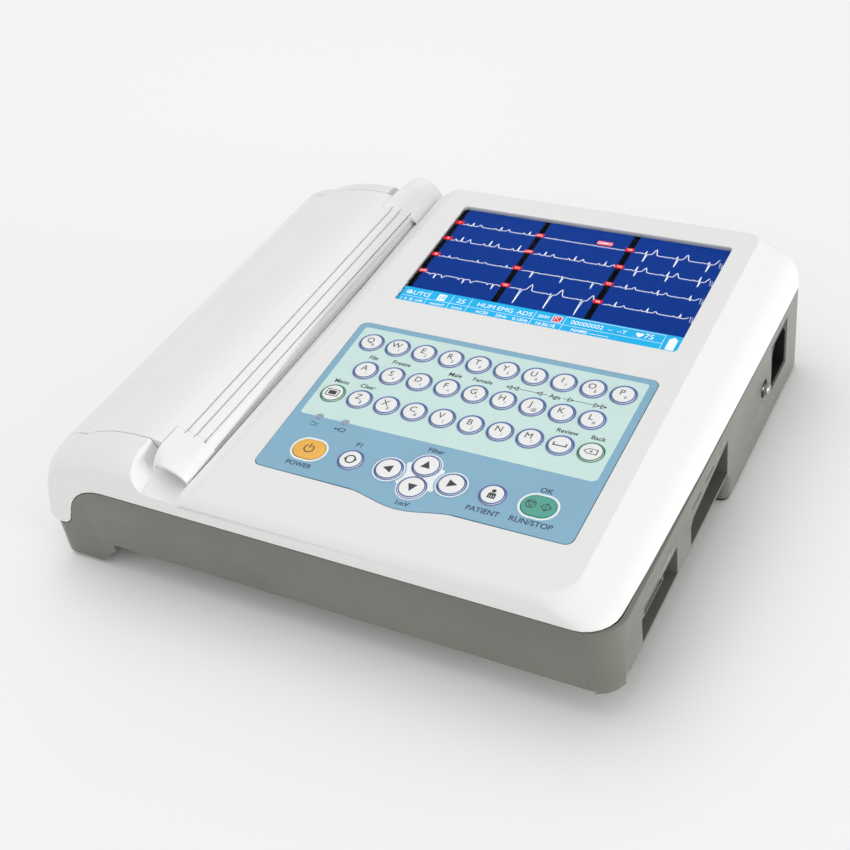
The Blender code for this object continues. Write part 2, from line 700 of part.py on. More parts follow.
def key(name, radius):
    """A key dome's cap: it stands proud of the overlay and slides in it."""
    low = -OVERLAY_THICKNESS + KEY_TRAVEL + 0.3
    body = outline_solid(name, key_outline(radius), low, KEY_PROUD)
    crown = body.modifiers.new("crown", "BEVEL")
    crown.width = 0.3 * MM
    crown.segments = 1
    crown.limit_method = "ANGLE"
    crown.angle_limit = radians(60)
    return body


def main_board():
    body = box("main_board", (-45, -108, 26.0), (128, -8, 27.6))
    parts = {
        "processor": ((10, -70, 27), (34, -46, 30)),
        "shield": ((60, -100, 27), (125, -60, 36)),
        "memory": ((44, -60, 27), (56, -46, 29.5)),
        "capacitor bank": ((-30, -40, 27), (-6, -20, 38)),
        "header": ((-40, -98, 27), (-34, -60, 35)),
    }
    for name, (low, high) in parts.items():
        add(body, box(name, low, high))
    return body


def power_supply():
    body = box("power_supply", (60, 15, 7.0), (118, 120, 9.0))
    add(body, box("transformer", (74, 60, 8), (106, 92, 38)), box("heat sink", (64, 20, 8), (68, 110, 34)))
    return add(body, cylinder("capacitor", 9, (95, 36), 8, 34, "Z", 20))


def battery_pack():
    body = outline_solid("battery_pack", rounded_box(-40, 45, 25, 80, [6, 6, 6, 6], 4), 5.2, 30.0)
    return add(body, box("lead boss", (-46, 45, 14), (-38, 60, 24)))


def ac_inlet():
    (front, rear), (low, high) = INLET_Y, INLET_Z
    body = box("ac_inlet", (128.0, front, low), (RIGHT - 0.3, rear, high))
    cavity = [(front + 2, low + 2), (rear - 2, low + 2), (rear - 2, high - 7)]
    cavity += [(rear - 6, high - 2), (front + 6, high - 2), (front + 2, high - 7)]
    cut(body, outline_solid("cavity", cavity, 134, RIGHT + 3, "YZ"))
    middle = (front + rear) / 2
    for y, z in ((middle - 6, low + 10), (middle + 6, low + 10), (middle, low + 18)):
        add(body, box("pin", (133, y - 1, z - 2.2), (143, y + 1, z + 2.2)))
    return body


def ground_stud():
    """A turned stud: its profile runs down the outer side, and the Screw modifier turns it."""
    steps = [(0.0, 153.5), (2.2, 153.5), (3.0, 152.7), (3.0, 150.8), (2.0, 150.0), (2.0, 148.2)]
    steps += [(4.0, 148.2), (4.0, 146.9), (2.0, 146.9), (2.0, 136.0), (0.0, 136.0)]
    edges = [(i, i + 1) for i in range(len(steps) - 1)]
    mesh = bpy.data.meshes.new("ground_stud")
    mesh.from_pydata([(r * MM, 0, z * MM) for r, z in steps], edges, [])
    made = new_object("ground_stud", mesh)
    turned = made.modifiers.new("turned", "SCREW")
    turned.steps = turned.render_steps = 20
    turned.use_merge_vertices = True
    turned.merge_threshold = 0.00005
    made.matrix_world = Matrix.Translation((0, STUD_Y * MM, STUD_Z * MM)) @ Matrix.Rotation(pi / 2, 4, "Y")
    return made


def patient_socket():
    body = box("patient_socket", (129.5, -98, 25), (143.5, -74, 33))
    face = RIGHT - POCKET_DEPTH + GAP
    add(body, box("flange", (face, -105.5, 22.6), (face + 1.2, -66.5, 35.4)))
    rim = [(-98.6, 25.2), (-73.4, 25.2), (-74.9, 33.0), (-97.1, 33.0)]
    mouth = [(-97.6, 26.0), (-74.4, 26.0), (-75.8, 32.2), (-96.2, 32.2)]
    add(body, outline_solid("rim", rim, face, face + 4.5, "YZ"))
    return cut(body, outline_solid("mouth", mouth, face + 1.5, face + 7, "YZ"))


def foot(name, left, right, front, rear, radii):
    return outline_solid(name, rounded_box(left, right, front, rear, radii, 4), 0.0, REAR_UNDERSIDE - GAP)


def build():
    clear_scene()
    parts = collection("ecg_machine")
    white = material("white_housing", (0.86, 0.86, 0.85), 0.42)
    grey = material("grey_base", (0.23, 0.225, 0.20), 0.5)
    rubber = material("black_rubber", (0.03, 0.03, 0.03), 0.8)
    steel = material("steel", (0.6, 0.6, 0.6), 0.3, 1.0)
    black = material("black_plastic", (0.02, 0.02, 0.02), 0.4)
    green = material("circuit_board", (0.02, 0.16, 0.07), 0.5)
    paper = material("paper", (0.88, 0.86, 0.85), 0.8)
    nylon = material("nylon_gear", (0.80, 0.79, 0.73), 0.5)
    screen = material("screen_glass", (0.02, 0.09, 0.35), 0.1)
    lcd = material("lcd", (0.02, 0.09, 0.40), 0.3)
    blue = material("keypad_film", (0.22, 0.44, 0.58), 0.4)
    cap = material("key_white", (0.88, 0.88, 0.88), 0.35)
    orange = material("key_orange", (0.87, 0.50, 0.06), 0.35)
    run_green = material("key_green", (0.06, 0.38, 0.30), 0.35)
    battery = material("battery_wrap", (0.10, 0.14, 0.30), 0.4)

    hinge = (HINGE_X, 0, HINGE_Z)
    pinion_centre, line = gear_line()
    platen = (PLATEN_X, 0, PLATEN_Z)
    finish(bottom_housing(), parts, grey)
    finish(top_housing(), parts, white)
    finish(printer_door(), parts, white, hinge)
    finish(platen_roller(), parts, rubber, platen)
    wheel = gear("platen_gear", PLATEN_TEETH, line, (PLATEN_X, PLATEN_Z), PLATEN_SHAFT_RADIUS + 0.3)
    finish(wheel, parts, nylon, platen)
    tooth = line + pi + pi / PINION_TEETH
    pinion = gear("motor_pinion", PINION_TEETH, tooth, pinion_centre, 1.8)
    finish(pinion, parts, nylon, (pinion_centre[0], 0, pinion_centre[1]))
    finish(drive_motor(pinion_centre), parts, steel)
    finish(print_head(), parts, black)
    finish(paper_roll(), parts, paper, (ROLL_X, 0, ROLL_Z))
    finish(main_board(), parts, green)
    finish(power_supply(), parts, green)
    finish(battery_pack(), parts, battery)
    hatch = box("battery_cover", (-44.6, 20.4, REAR_UNDERSIDE), (49.6, 84.6, REAR_UNDERSIDE + 2.6))
    finish(hatch, parts, grey)
    finish(ac_inlet(), parts, black)
    finish(ground_stud(), parts, steel)
    finish(patient_socket(), parts, steel)
    finish(foot("foot_front_left", -147, -128, -134, -112, [6, 4, 4, 4]), parts, rubber)
    finish(foot("foot_front_right", 122, 149.6, 8.4, 26, [4, 4, 4, 4]), parts, rubber)
    finish(foot("foot_rear_left", -148, -124, 106, 127, [4, 4, 4, 5]), parts, rubber)
    finish(foot("foot_rear_right", 124, 148, 106, 127, [4, 4, 7, 4]), parts, rubber)

    for made, look in ((display_window(), screen), (lcd_panel(), lcd), (keypad_overlay(), blue)):
        finish(made, parts, look)
        made.matrix_world = console_matrix()
    looks = {"key_power": orange, "key_run": run_green}
    for name, (u, v), radius in key_places():
        made = finish(key(name, radius), parts, looks.get(name, cap))
        made.matrix_world = console_matrix() @ Matrix.Translation((u * MM, v * MM, 0))


build()
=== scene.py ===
"""Looks for a table-top twelve-channel ECG machine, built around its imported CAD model.

Shapes are drawn in millimetres, in the object's frame or in the sloping console's frame
(u to the right, v up the slope, w square to it), and become meshes in metres.
"""

from math import cos, exp, hypot, pi, radians, sin

import bmesh
import bpy
from mathutils import Matrix, Vector
from mathutils.bvhtree import BVHTree


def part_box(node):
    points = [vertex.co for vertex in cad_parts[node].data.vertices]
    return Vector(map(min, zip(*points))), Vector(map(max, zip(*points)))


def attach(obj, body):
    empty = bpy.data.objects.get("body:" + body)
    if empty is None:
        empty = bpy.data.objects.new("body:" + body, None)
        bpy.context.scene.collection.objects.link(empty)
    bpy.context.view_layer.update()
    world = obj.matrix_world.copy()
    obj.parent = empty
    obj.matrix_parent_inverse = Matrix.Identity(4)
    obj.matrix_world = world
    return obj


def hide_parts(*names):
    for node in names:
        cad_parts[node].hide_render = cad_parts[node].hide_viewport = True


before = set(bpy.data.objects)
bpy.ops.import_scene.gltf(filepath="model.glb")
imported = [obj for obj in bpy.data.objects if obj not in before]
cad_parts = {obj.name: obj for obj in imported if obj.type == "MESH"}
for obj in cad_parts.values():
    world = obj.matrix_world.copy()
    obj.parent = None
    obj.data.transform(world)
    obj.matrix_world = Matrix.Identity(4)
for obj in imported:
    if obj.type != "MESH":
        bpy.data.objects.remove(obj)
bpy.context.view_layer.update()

MM = 0.001

# The console's frame: its origin is the first letter key, on the keypad film
CONSOLE = Matrix.Translation((-0.0295, -0.0095, 0.070)) @ Matrix.Rotation(radians(3.0), 4, "X")

# Keypad film, in the console's frame
FILM_LEFT, FILM_RIGHT, FILM_TOP, FILM_BOTTOM = -12.6, 148.0, 14.0, -95.2
FILM_THICKNESS, FILM_CORNER = 2.0, 4.0
BULGE, BULGE_CENTRE, BULGE_HALF = 4.8, 66.0, 29.0
MINT_LEFT, MINT_RIGHT, MINT_TOP, MINT_BOTTOM = -9.0, 144.2, 10.6, -57.2
PRINT = 0.02  # thickness of one printed layer
ON_FILM, ON_MINT = (0.0, 2 * PRINT), (PRINT, 3 * PRINT)
LAMP_ROW, MAINS_LAMP, BATTERY_LAMP = -57.3, 2.1, 16.5
AGE_ROW = -10.4
KEY_RADIUS, ARROW_RADIUS = 5.8, 6.4
OVAL_WIDE, OVAL_HIGH = 8.1, 6.2
KEY_TOP, KEY_FOOT, KEY_CROWN = 0.6, -1.2, 0.14
KEY_GAP, RING_EDGE = 0.3, 0.75  # out from a key: where its ring starts, and where its halo starts

# Display, in the console's frame
SCREEN_LEFT, SCREEN_RIGHT, SCREEN_BOTTOM, SCREEN_TOP = -6.5, 147.3, 36.7, 123.3
SCREEN_MARGIN = 0.05
PICTURE = -2.48
LEVELS = [PICTURE + 0.03 * i for i in range(5)]
FIELDS, SIGNS, OVER_SIGNS = zip(LEVELS[1:], LEVELS[2:])
STATUS_TOP = 50.2
LEAD_BARS = ((SCREEN_LEFT, -3.6), (42.9, 46.1), (94.3, 97.7))
LEAD_ROWS = (110.8, 95.6, 80.5, 65.2)
TRACE_DROP = 1.2
SWEEP_LEFT = SCREEN_RIGHT - 2.6

# Right side: the base's face, and the pockets' inner wall
SIDE_X = 150.5
POCKET_X = 142.5

# Printer: steel shows up to these radii on the platen and the paper roll
SHAFT_RADIUS = 3.2
SPINDLE_RADIUS = 4.2


# ---------------- meshes


def place_mm(u, v, w=0.0):
    return Matrix.Translation((u * MM, v * MM, w * MM))


def arc(centre, radius, start, end, steps):
    """Points on a circular arc between two angles in degrees."""
    angles = [radians(start + (end - start) * i / steps) for i in range(steps + 1)]
    return [(centre[0] + radius * cos(a), centre[1] + radius * sin(a)) for a in angles]


def circle(centre, radius, steps=48):
    return arc(centre, radius, 0, 360 - 360 / steps, steps - 1)


def rectangle(left, right, bottom, top, radii=None, steps=6):
    """A rectangle's outline with a radius at its bottom-left, bottom-right, top-right and top-left."""
    radii = radii or [0, 0, 0, 0]
    corners = (((left, bottom), 1, 1, 180), ((right, bottom), -1, 1, 270))
    corners += (((right, top), -1, -1, 0), ((left, top), 1, -1, 90))
    points = []
    for ((x, y), dx, dy, start), radius in zip(corners, radii):
        if radius:
            points += arc((x + dx * radius, y + dy * radius), radius, start, start + 90, steps)
        else:
            points.append((x, y))
    return points


def moved(points, across, up):
    return [(x + across, y + up) for x, y in points]


def placed(name, data):
    """A new object in the scene."""
    made = bpy.data.objects.new(name, data)
    bpy.context.scene.collection.objects.link(made)
    return made


def from_curve(curve):
    """The bmesh of a curve or text."""
    holder = placed("holder", curve)
    graph = bpy.context.evaluated_depsgraph_get()
    mesh = bpy.data.meshes.new_from_object(holder.evaluated_get(graph))
    shape = bmesh.new()
    shape.from_mesh(mesh)
    bmesh.ops.remove_doubles(shape, verts=shape.verts, dist=1e-7)
    bpy.data.objects.remove(holder)
    bpy.data.meshes.remove(mesh)
    return shape


def flat(outlines, low, high):
    """Flat outlines, the first an edge and the others its holes or further islands, extruded."""
    if not isinstance(outlines[0], list):
        outlines = [outlines]
    curve = bpy.data.curves.new("flat", "CURVE")
    curve.dimensions = "2D"
    curve.fill_mode = "BOTH"
    curve.extrude = (high - low) / 2 * MM
    for points in outlines:
        spline = curve.splines.new("POLY")
        spline.points.add(len(points) - 1)
        for point, (x, y) in zip(spline.points, points):
            point.co = (x * MM, y * MM, 0, 1)
        spline.use_cyclic_u = True
    shape = from_curve(curve)
    bmesh.ops.translate(shape, vec=(0, 0, (low + high) / 2 * MM), verts=shape.verts)
    return shape


def words(text, size, u, v, low, high, weight=0.0):
    """Raised lettering, its middle at (u, v)."""
    curve = bpy.data.curves.new("words", "FONT")
    curve.body = text
    curve.size = size * MM
    curve.align_x = "CENTER"
    curve.align_y = "CENTER"
    curve.offset = weight * MM
    curve.extrude = (high - low) / 2 * MM
    curve.resolution_u = 3
    shape = from_curve(curve)
    bmesh.ops.transform(shape, matrix=place_mm(u, v, (low + high) / 2), verts=shape.verts)
    return shape


def ribbon(points, width, level):
    """A flat line of even width through points."""
    shape = bmesh.new()
    sides = []
    for i, (x, y) in enumerate(points):
        before, after = points[max(i - 1, 0)], points[min(i + 1, len(points) - 1)]
        dx, dy = after[0] - before[0], after[1] - before[1]
        length = hypot(dx, dy) or 1.0
        nx, ny = -dy / length * width / 2, dx / length * width / 2
        pair = [shape.verts.new(((x + s * nx) * MM, (y + s * ny) * MM, level * MM)) for s in (-1, 1)]
        sides.append(pair)
    for (a, b), (c, d) in zip(sides, sides[1:]):
        shape.faces.new((a, c, d, b))
    return shape


def turned(profile, steps=48):
    """A solid of revolution about Z from (radius, height) points, lowest first."""
    shape = bmesh.new()
    rings = []
    for radius, height in profile:
        count = 1 if radius == 0 else steps
        angles = [2 * pi * i / steps for i in range(count)]
        spots = [(radius * cos(a) * MM, radius * sin(a) * MM, height * MM) for a in angles]
        rings.append([shape.verts.new(spot) for spot in spots])
    for low, high in zip(rings, rings[1:]):
        for i in range(steps):
            j = (i + 1) % steps
            corners = [low[i % len(low)], low[j % len(low)], high[j % len(high)], high[i % len(high)]]
            corners = list(dict.fromkeys(corners))
            if len(corners) > 2:
                shape.faces.new(corners)
    return shape


def block(low, high, bevel=0.0):
    """A box between two corners, with rounded edges."""
    shape = bmesh.new()
    bmesh.ops.create_cube(shape, size=1.0)
    bmesh.ops.scale(shape, vec=[(b - a) * MM for a, b in zip(low, high)], verts=shape.verts)
    bmesh.ops.translate(shape, vec=[(a + b) / 2 * MM for a, b in zip(low, high)], verts=shape.verts)
    if bevel:
        bmesh.ops.bevel(
            shape, geom=shape.edges[:], offset=bevel * MM, segments=2, profile=0.5, affect="EDGES"
        )
    return shape


def at(shape, matrix):
    bmesh.ops.transform(shape, matrix=matrix, verts=shape.verts)
    return shape


def absorb(whole, shape):
    """Moves a shape's faces into a larger bmesh."""
    part = bpy.data.meshes.new("part")
    shape.to_mesh(part)
    shape.free()
    whole.from_mesh(part)
    bpy.data.meshes.remove(part)


def solid(name, parts, looks, matrix=None, smooth=30.0):
    """One object from (bmesh, material) parts, with its material slots in the order of looks."""
    whole = bmesh.new()
    for shape, look in parts:
        bmesh.ops.recalc_face_normals(shape, faces=shape.faces)
        number = looks.index(look)
        for face in shape.faces:
            face.material_index = number
        absorb(whole, shape)
    if matrix is not None:
        bmesh.ops.transform(whole, matrix=matrix, verts=whole.verts)
    mesh = bpy.data.meshes.new(name)
    whole.to_mesh(mesh)
    whole.free()
    for look in looks:
        mesh.materials.append(look)
    mesh.shade_smooth()
    mesh.set_sharp_from_angle(angle=radians(smooth))
    return placed(name, mesh)


def settle(made, body, slot, *nodes):
    """Puts a finished piece on its body and hides the CAD nodes it stands for; its material slot is not used.
    """
    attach(made, body)
    if nodes:
        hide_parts(*nodes)
    return made


# ---------------- materials


def srgb(red, green, blue):
    """Linear colour from 0 to 255 display values."""

    def linear(value):
        value /= 255
        return value / 12.92 if value <= 0.04045 else ((value + 0.055) / 1.055) ** 2.4

    return (linear(red), linear(green), linear(blue), 1.0)


def feed(tree, socket, value):
    """Gives an input a plain value, or links it to another node's output."""
    if isinstance(value, bpy.types.NodeSocket):
        tree.links.new(value, socket)
    else:
        socket.default_value = value


def fill(tree, made, inputs):
    """Feeds a node's inputs by name."""
    for name, value in inputs.items():
        feed(tree, made.inputs[name], value)


def node(tree, kind, inputs=None, **settings):
    """A shader node: inputs are values, or sockets to link."""
    made = tree.nodes.new(kind)
    for name, value in settings.items():
        setattr(made, name, value)
    fill(tree, made, inputs or {})
    return made


def start(name):
    """A new material, its node tree, its Principled shader and the object's coordinates."""
    made = bpy.data.materials.new(name)
    made.use_nodes = True
    tree = made.node_tree
    shader = tree.nodes["Principled BSDF"]
    return made, tree, shader, node(tree, "ShaderNodeTexCoord").outputs["Object"]


def noise(tree, place, scale, detail=3.0, rough=0.5):
    inputs = {"Vector": place, "Scale": scale, "Detail": detail, "Roughness": rough}
    return node(tree, "ShaderNodeTexNoise", inputs).outputs["Fac"]


def spread(tree, value, low, high, clip=(0.3, 0.7)):
    """A noise value stretched over a range."""
    inputs = {"Value": value, "From Min": clip[0], "From Max": clip[1], "To Min": low, "To Max": high}
    return node(tree, "ShaderNodeMapRange", inputs).outputs["Result"]


def blended(tree, factor, first, second, how="MIX"):
    """A mix of two colours, each a value or a socket."""
    mix = node(tree, "ShaderNodeMix", {"Factor": factor}, data_type="RGBA", blend_type=how)
    for name, value in (("A", first), ("B", second)):
        feed(tree, next(s for s in mix.inputs if s.name == name and s.type == "RGBA"), value)
    return next(s for s in mix.outputs if s.type == "RGBA")


def tinted(tree, colour, share):
    """The colour, made darker or lighter by a share around 1."""
    grey = node(tree, "ShaderNodeCombineColor", {"Red": share, "Green": share, "Blue": share})
    return blended(tree, 1.0, colour, grey.outputs["Color"], "MULTIPLY")


def math(tree, operation, first, second=0.0):
    made = node(tree, "ShaderNodeMath", operation=operation)
    for socket, value in zip(made.inputs, (first, second)):
        feed(tree, socket, value)
    return made.outputs[0]


def bumped(tree, shader, height, strength, distance):
    inputs = {"Height": height, "Strength": strength, "Distance": distance * MM}
    fill(tree, shader, {"Normal": node(tree, "ShaderNodeBump", inputs).outputs["Normal"]})


def moulded(name, colour, rough, grain, grain_mm, mottle, coat=0.0, edge_highlight=0.0):
    """Moulded plastic: fine texture, faint mottling, a gloss that changes a little over the part, and where
    asked a painted highlight along convex edges.
    """
    made, tree, shader, place = start(name)
    broad = noise(tree, place, 18.0, 4.0)
    fine = noise(tree, place, 1.0 / (grain_mm * MM), 2.0)
    cloudy = spread(tree, broad, 1 - mottle, 1 + mottle)
    share = math(tree, "ADD", cloudy, spread(tree, fine, -mottle, mottle))
    painted = tinted(tree, colour, share)
    # Painted highlight: convex edges, found by the mesh's pointiness, are lightened in patches
    if edge_highlight:
        edges = node(tree, "ShaderNodeNewGeometry").outputs["Pointiness"]
        convex_highlight = spread(tree, edges, 0.0, edge_highlight, (0.52, 0.6))
        patchy_highlight = math(tree, "MULTIPLY", convex_highlight, spread(tree, broad, 0.3, 1.0))
        lighter = tuple(min(1.0, c * 1.6 + 0.03) for c in colour[:3]) + (1.0,)
        painted = blended(tree, patchy_highlight, painted, lighter)
    smear = spread(tree, noise(tree, place, 60.0, 5.0, 0.6), rough - 0.05, rough + 0.07)
    fill(tree, shader, {"Base Color": painted, "Roughness": smear})
    fill(tree, shader, {"Coat Weight": coat, "Coat Roughness": 0.25})
    bumped(tree, shader, fine, grain, 0.02)
    return made


def printed(name, colour, rough, coat=0.15):
    """Ink or film: faint cloudy tone and a fine matt tooth."""
    made, tree, shader, place = start(name)
    cloud = noise(tree, place, 45.0, 4.0)
    tooth = noise(tree, place, 3500.0, 2.0)
    share = math(tree, "ADD", spread(tree, cloud, 0.98, 1.02), spread(tree, tooth, -0.012, 0.012))
    gloss = spread(tree, cloud, rough - 0.05, rough + 0.05)
    fill(tree, shader, {"Base Color": tinted(tree, colour, share), "Roughness": gloss})
    fill(tree, shader, {"Coat Weight": coat, "Coat Roughness": 0.2})
    bumped(tree, shader, tooth, 0.25, 0.008)
    return made


def lit(name, colour, strength):
    """A lit part of the display: fine pixel rows over an even backlight."""
    made, tree, shader, place = start(name)
    rows = node(tree, "ShaderNodeTexWave", {"Vector": place, "Scale": 900.0}, bands_direction="Y")
    glow = spread(tree, noise(tree, place, 12.0, 2.0), 0.97, 1.03)
    share = math(tree, "ADD", spread(tree, rows.outputs["Fac"], -0.03, 0.03, (0.0, 1.0)), glow)
    dimmed = tuple(c * 0.25 for c in colour[:3]) + (1.0,)
    fill(tree, shader, {"Base Color": tinted(tree, dimmed, share)})
    fill(tree, shader, {"Specular IOR Level": 0.02, "Roughness": 0.5})
    fill(tree, shader, {"Emission Color": tinted(tree, colour, share), "Emission Strength": strength})
    return made


def clear_window(name):
    """The display's cover: clear and coated against reflections, with faint smears."""
    made, tree, shader, place = start(name)
    smear = spread(tree, noise(tree, place, 70.0, 5.0, 0.65), 0.0, 0.06)
    fill(tree, shader, {"Base Color": (0.97, 0.98, 1.0, 1.0), "Roughness": smear})
    fill(tree, shader, {"Transmission Weight": 1.0, "IOR": 1.07})
    bumped(tree, shader, noise(tree, place, 9.0, 1.0), 0.03, 0.05)
    return made


def brushed(name, colour, rough):
    """Machined or drawn metal, with fine lines along X."""
    made, tree, shader, place = start(name)
    squeeze = {"Vector": place, "Scale": (40.0, 900.0, 900.0)}
    lines = noise(tree, node(tree, "ShaderNodeMapping", squeeze).outputs["Vector"], 3.0, 4.0, 0.6)
    gloss = spread(tree, lines, rough - 0.06, rough + 0.1)
    shine = tinted(tree, colour, spread(tree, lines, 0.9, 1.06))
    fill(tree, shader, {"Base Color": shine, "Metallic": 1.0, "Roughness": gloss})
    bumped(tree, shader, lines, 0.3, 0.01)
    return made


def about_axis(tree, place, axis_x, axis_z):
    """Distances from an axis that lies along Y: across, up and straight out, and the place along it."""
    parts = node(tree, "ShaderNodeSeparateXYZ", {"Vector": place})
    across = math(tree, "SUBTRACT", parts.outputs["X"], axis_x * MM)
    up = math(tree, "SUBTRACT", parts.outputs["Z"], axis_z * MM)
    squares = [math(tree, "MULTIPLY", side, side) for side in (across, up)]
    return across, up, math(tree, "SQRT", math(tree, "ADD", *squares)), parts.outputs["Y"]


def rubber_and_shaft(name, axis_x, axis_z, shaft):
    """Ground rubber on a steel shaft: what is nearer the axis than the shaft's radius is steel."""
    made, tree, shader, place = start(name)
    reach = about_axis(tree, place, axis_x, axis_z)[2]
    steel = math(tree, "LESS_THAN", reach, shaft * MM)
    fine = noise(tree, place, 2500.0, 3.0)
    rubber = tinted(tree, srgb(38, 38, 40), spread(tree, fine, 0.85, 1.15))
    coloured = blended(tree, steel, rubber, srgb(190, 190, 192))
    rough = math(tree, "SUBTRACT", 0.75, math(tree, "MULTIPLY", steel, 0.45))
    fill(tree, shader, {"Base Color": coloured, "Metallic": steel, "Roughness": rough})
    bumped(tree, shader, fine, 0.3, 0.02)
    return made


def chart_paper(name, axis_x, axis_z, radius):
    """Rolled recording paper: a fine red grid round the roll, and painted shade at the turns' edges on its
    ends.
    """
    made, tree, shader, place = start(name)
    across, up, reach, length = about_axis(tree, place, axis_x, axis_z)
    turn = math(tree, "MULTIPLY", math(tree, "ARCTAN2", up, across), radius)
    along = math(tree, "MULTIPLY", length, 1 / MM)
    lines = 0.0
    for spot in (turn, along):
        for pitch, width, weight in ((1.0, 0.16, 0.35), (5.0, 0.3, 0.55)):
            step = math(tree, "FLOORED_MODULO", spot, pitch)
            line = math(tree, "MULTIPLY", math(tree, "LESS_THAN", step, width), weight)
            lines = math(tree, "MAXIMUM", line, lines)
    skin = math(tree, "GREATER_THAN", reach, (radius - 0.15) * MM)
    grid = math(tree, "MULTIPLY", lines, skin)
    layers = math(tree, "FLOORED_MODULO", math(tree, "MULTIPLY", reach, 1 / MM), 0.55)
    # Painted shade: each turn's edge on the roll's ends is darkened
    edge = spread(tree, layers, 0.86, 1.0, (0.0, 0.3))
    fibre = spread(tree, noise(tree, place, 1800.0, 4.0), 0.97, 1.03)
    shade = math(tree, "MULTIPLY", fibre, math(tree, "MAXIMUM", edge, skin))
    sheet = tinted(tree, srgb(240, 238, 234), shade)
    spindle = math(tree, "LESS_THAN", reach, SPINDLE_RADIUS * MM)
    coloured = blended(tree, grid, sheet, srgb(226, 120, 120))
    coloured = blended(tree, spindle, coloured, srgb(70, 72, 76))
    fill(tree, shader, {"Base Color": coloured, "Roughness": 0.72})
    bumped(tree, shader, layers, 0.25, 0.05)
    return made


def circuit_board(name):
    """A green board: solder mask with tracks, and tinned pads."""
    made, tree, shader, place = start(name)
    bricks = {"Vector": place, "Scale": 260.0, "Mortar Size": 0.03}
    tracks = node(tree, "ShaderNodeTexBrick", bricks, offset=0.37)
    spots = {"Vector": place, "Scale": 330.0}
    cells = node(tree, "ShaderNodeTexVoronoi", spots, feature="F1", distance="CHEBYCHEV")
    pads = math(tree, "LESS_THAN", cells.outputs["Distance"], 0.16)
    mask = blended(tree, tracks.outputs["Fac"], srgb(18, 92, 52), srgb(40, 132, 78))
    coloured = blended(tree, pads, mask, srgb(196, 190, 170))
    metal = math(tree, "MULTIPLY", pads, 0.8)
    fill(tree, shader, {"Base Color": coloured, "Metallic": metal, "Roughness": 0.38})
    bumped(tree, shader, tracks.outputs["Fac"], 0.3, 0.05)
    return made


WHITE = moulded("white_housing", srgb(236, 236, 235), 0.42, 0.35, 0.55, 0.008)
DOOR_WHITE = moulded("white_door", srgb(238, 238, 237), 0.36, 0.25, 0.6, 0.006)
# The grey base gets a painted highlight along its convex edges
GREY = moulded("grey_base", srgb(98, 97, 88), 0.5, 0.6, 0.45, 0.03, coat=0.7, edge_highlight=0.35)
# The base's grey lightened to its lit look: a painted highlight on the raised marks
RAISED_HIGHLIGHT = moulded("grey_marks_painted_highlight", srgb(168, 166, 160), 0.5, 0.5, 0.45, 0.03)
RUBBER = moulded("black_rubber", srgb(34, 33, 33), 0.8, 0.9, 0.7, 0.08)
BLACK = moulded("black_plastic", srgb(28, 28, 29), 0.42, 0.6, 0.4, 0.05)
# Painted shade: a near-black laid where slots, recesses and openings hold only shade
SHADOW = moulded("painted_shade", srgb(20, 20, 20), 0.8, 0.6, 0.6, 0.05)
NYLON = moulded("nylon_gear", srgb(226, 222, 208), 0.45, 0.4, 0.5, 0.03)
BATTERY = moulded("battery_wrap", srgb(44, 70, 128), 0.35, 0.4, 1.5, 0.04, coat=0.3)
STEEL = brushed("steel", srgb(186, 186, 188), 0.28)
BRASS = brushed("contact", srgb(214, 190, 120), 0.25)
BOARD = circuit_board("circuit_board")
FILM = printed("keypad_film", srgb(126, 176, 202), 0.36, 0.2)
MINT = printed("film_mint", srgb(205, 233, 228), 0.38)
FILM_WHITE = printed("film_white", srgb(240, 247, 250), 0.38)
RING_BLUE = printed("ring_blue", srgb(72, 98, 166), 0.35)
RING_HALO = printed("ring_halo", srgb(142, 170, 208), 0.38)
RING_GREEN = printed("ring_green", srgb(44, 130, 96), 0.35)
INK = printed("ink", srgb(30, 38, 44), 0.45)
INK_BLUE = printed("ink_on_blue", srgb(22, 48, 84), 0.45)
INK_GREY = printed("ink_small", srgb(120, 124, 130), 0.45)
INK_BROWN = printed("ink_brown", srgb(96, 44, 18), 0.45)
CAP = moulded("key_white", srgb(240, 241, 240), 0.33, 0.2, 0.8, 0.006, coat=0.2)
ORANGE = moulded("key_orange", srgb(242, 180, 58), 0.34, 0.2, 0.8, 0.02, coat=0.2)
GREEN = moulded("key_green", srgb(62, 160, 140), 0.34, 0.2, 0.8, 0.02, coat=0.2)
LAMP = moulded("lamp_grey", srgb(140, 158, 172), 0.2, 0.1, 0.8, 0.02, coat=0.6)
WINDOW = clear_window("screen_glass")
LCD_NAVY = lit("lcd", srgb(10, 56, 144), 0.8)
LCD_BLACK = lit("lcd_black", srgb(2, 2, 4), 0.4)
LCD_CYAN = lit("lcd_cyan", srgb(38, 176, 228), 0.95)
LCD_RED = lit("lcd_red", srgb(222, 30, 44), 0.95)
LCD_WHITE = lit("lcd_white", srgb(240, 246, 250), 0.95)


# ---------------- housings from their CAD solids


SHARP = 38.0  # degrees between two faces from which their edge counts as sharp


def sharp_edges(shape, banned):
    """Edges between faces that meet at an angle, away from the banned spots."""
    found = []
    for edge in shape.edges:
        if len(edge.link_faces) != 2 or edge.calc_face_angle(0.0) < radians(SHARP):
            continue
        ends = [vert.co for vert in edge.verts]
        if not any((spot - end).length < reach for spot, reach in banned for end in ends):
            found.append(edge)
    return found


def rounded(shape, width):
    """Rounds a moulding's sharp edges, leaving alone the corners too tight for the rounding."""
    original = BVHTree.FromBMesh(shape)
    banned = []
    for _ in range(8):
        trial = shape.copy()
        edges = sharp_edges(trial, banned)
        bmesh.ops.bevel(
            trial, geom=edges, offset=width * MM, segments=3, profile=0.5, affect="EDGES", clamp_overlap=False
        )
        stray = [v.co.copy() for v in trial.verts if original.find_nearest(v.co)[3] > 0.45 * width * MM]
        if not stray:
            return trial
        for spot in stray:
            vert = min(shape.verts, key=lambda v: (v.co - spot).length_squared)
            banned.append((vert.co.copy(), 0.5 * MM))
        trial.free()
    return shape.copy()


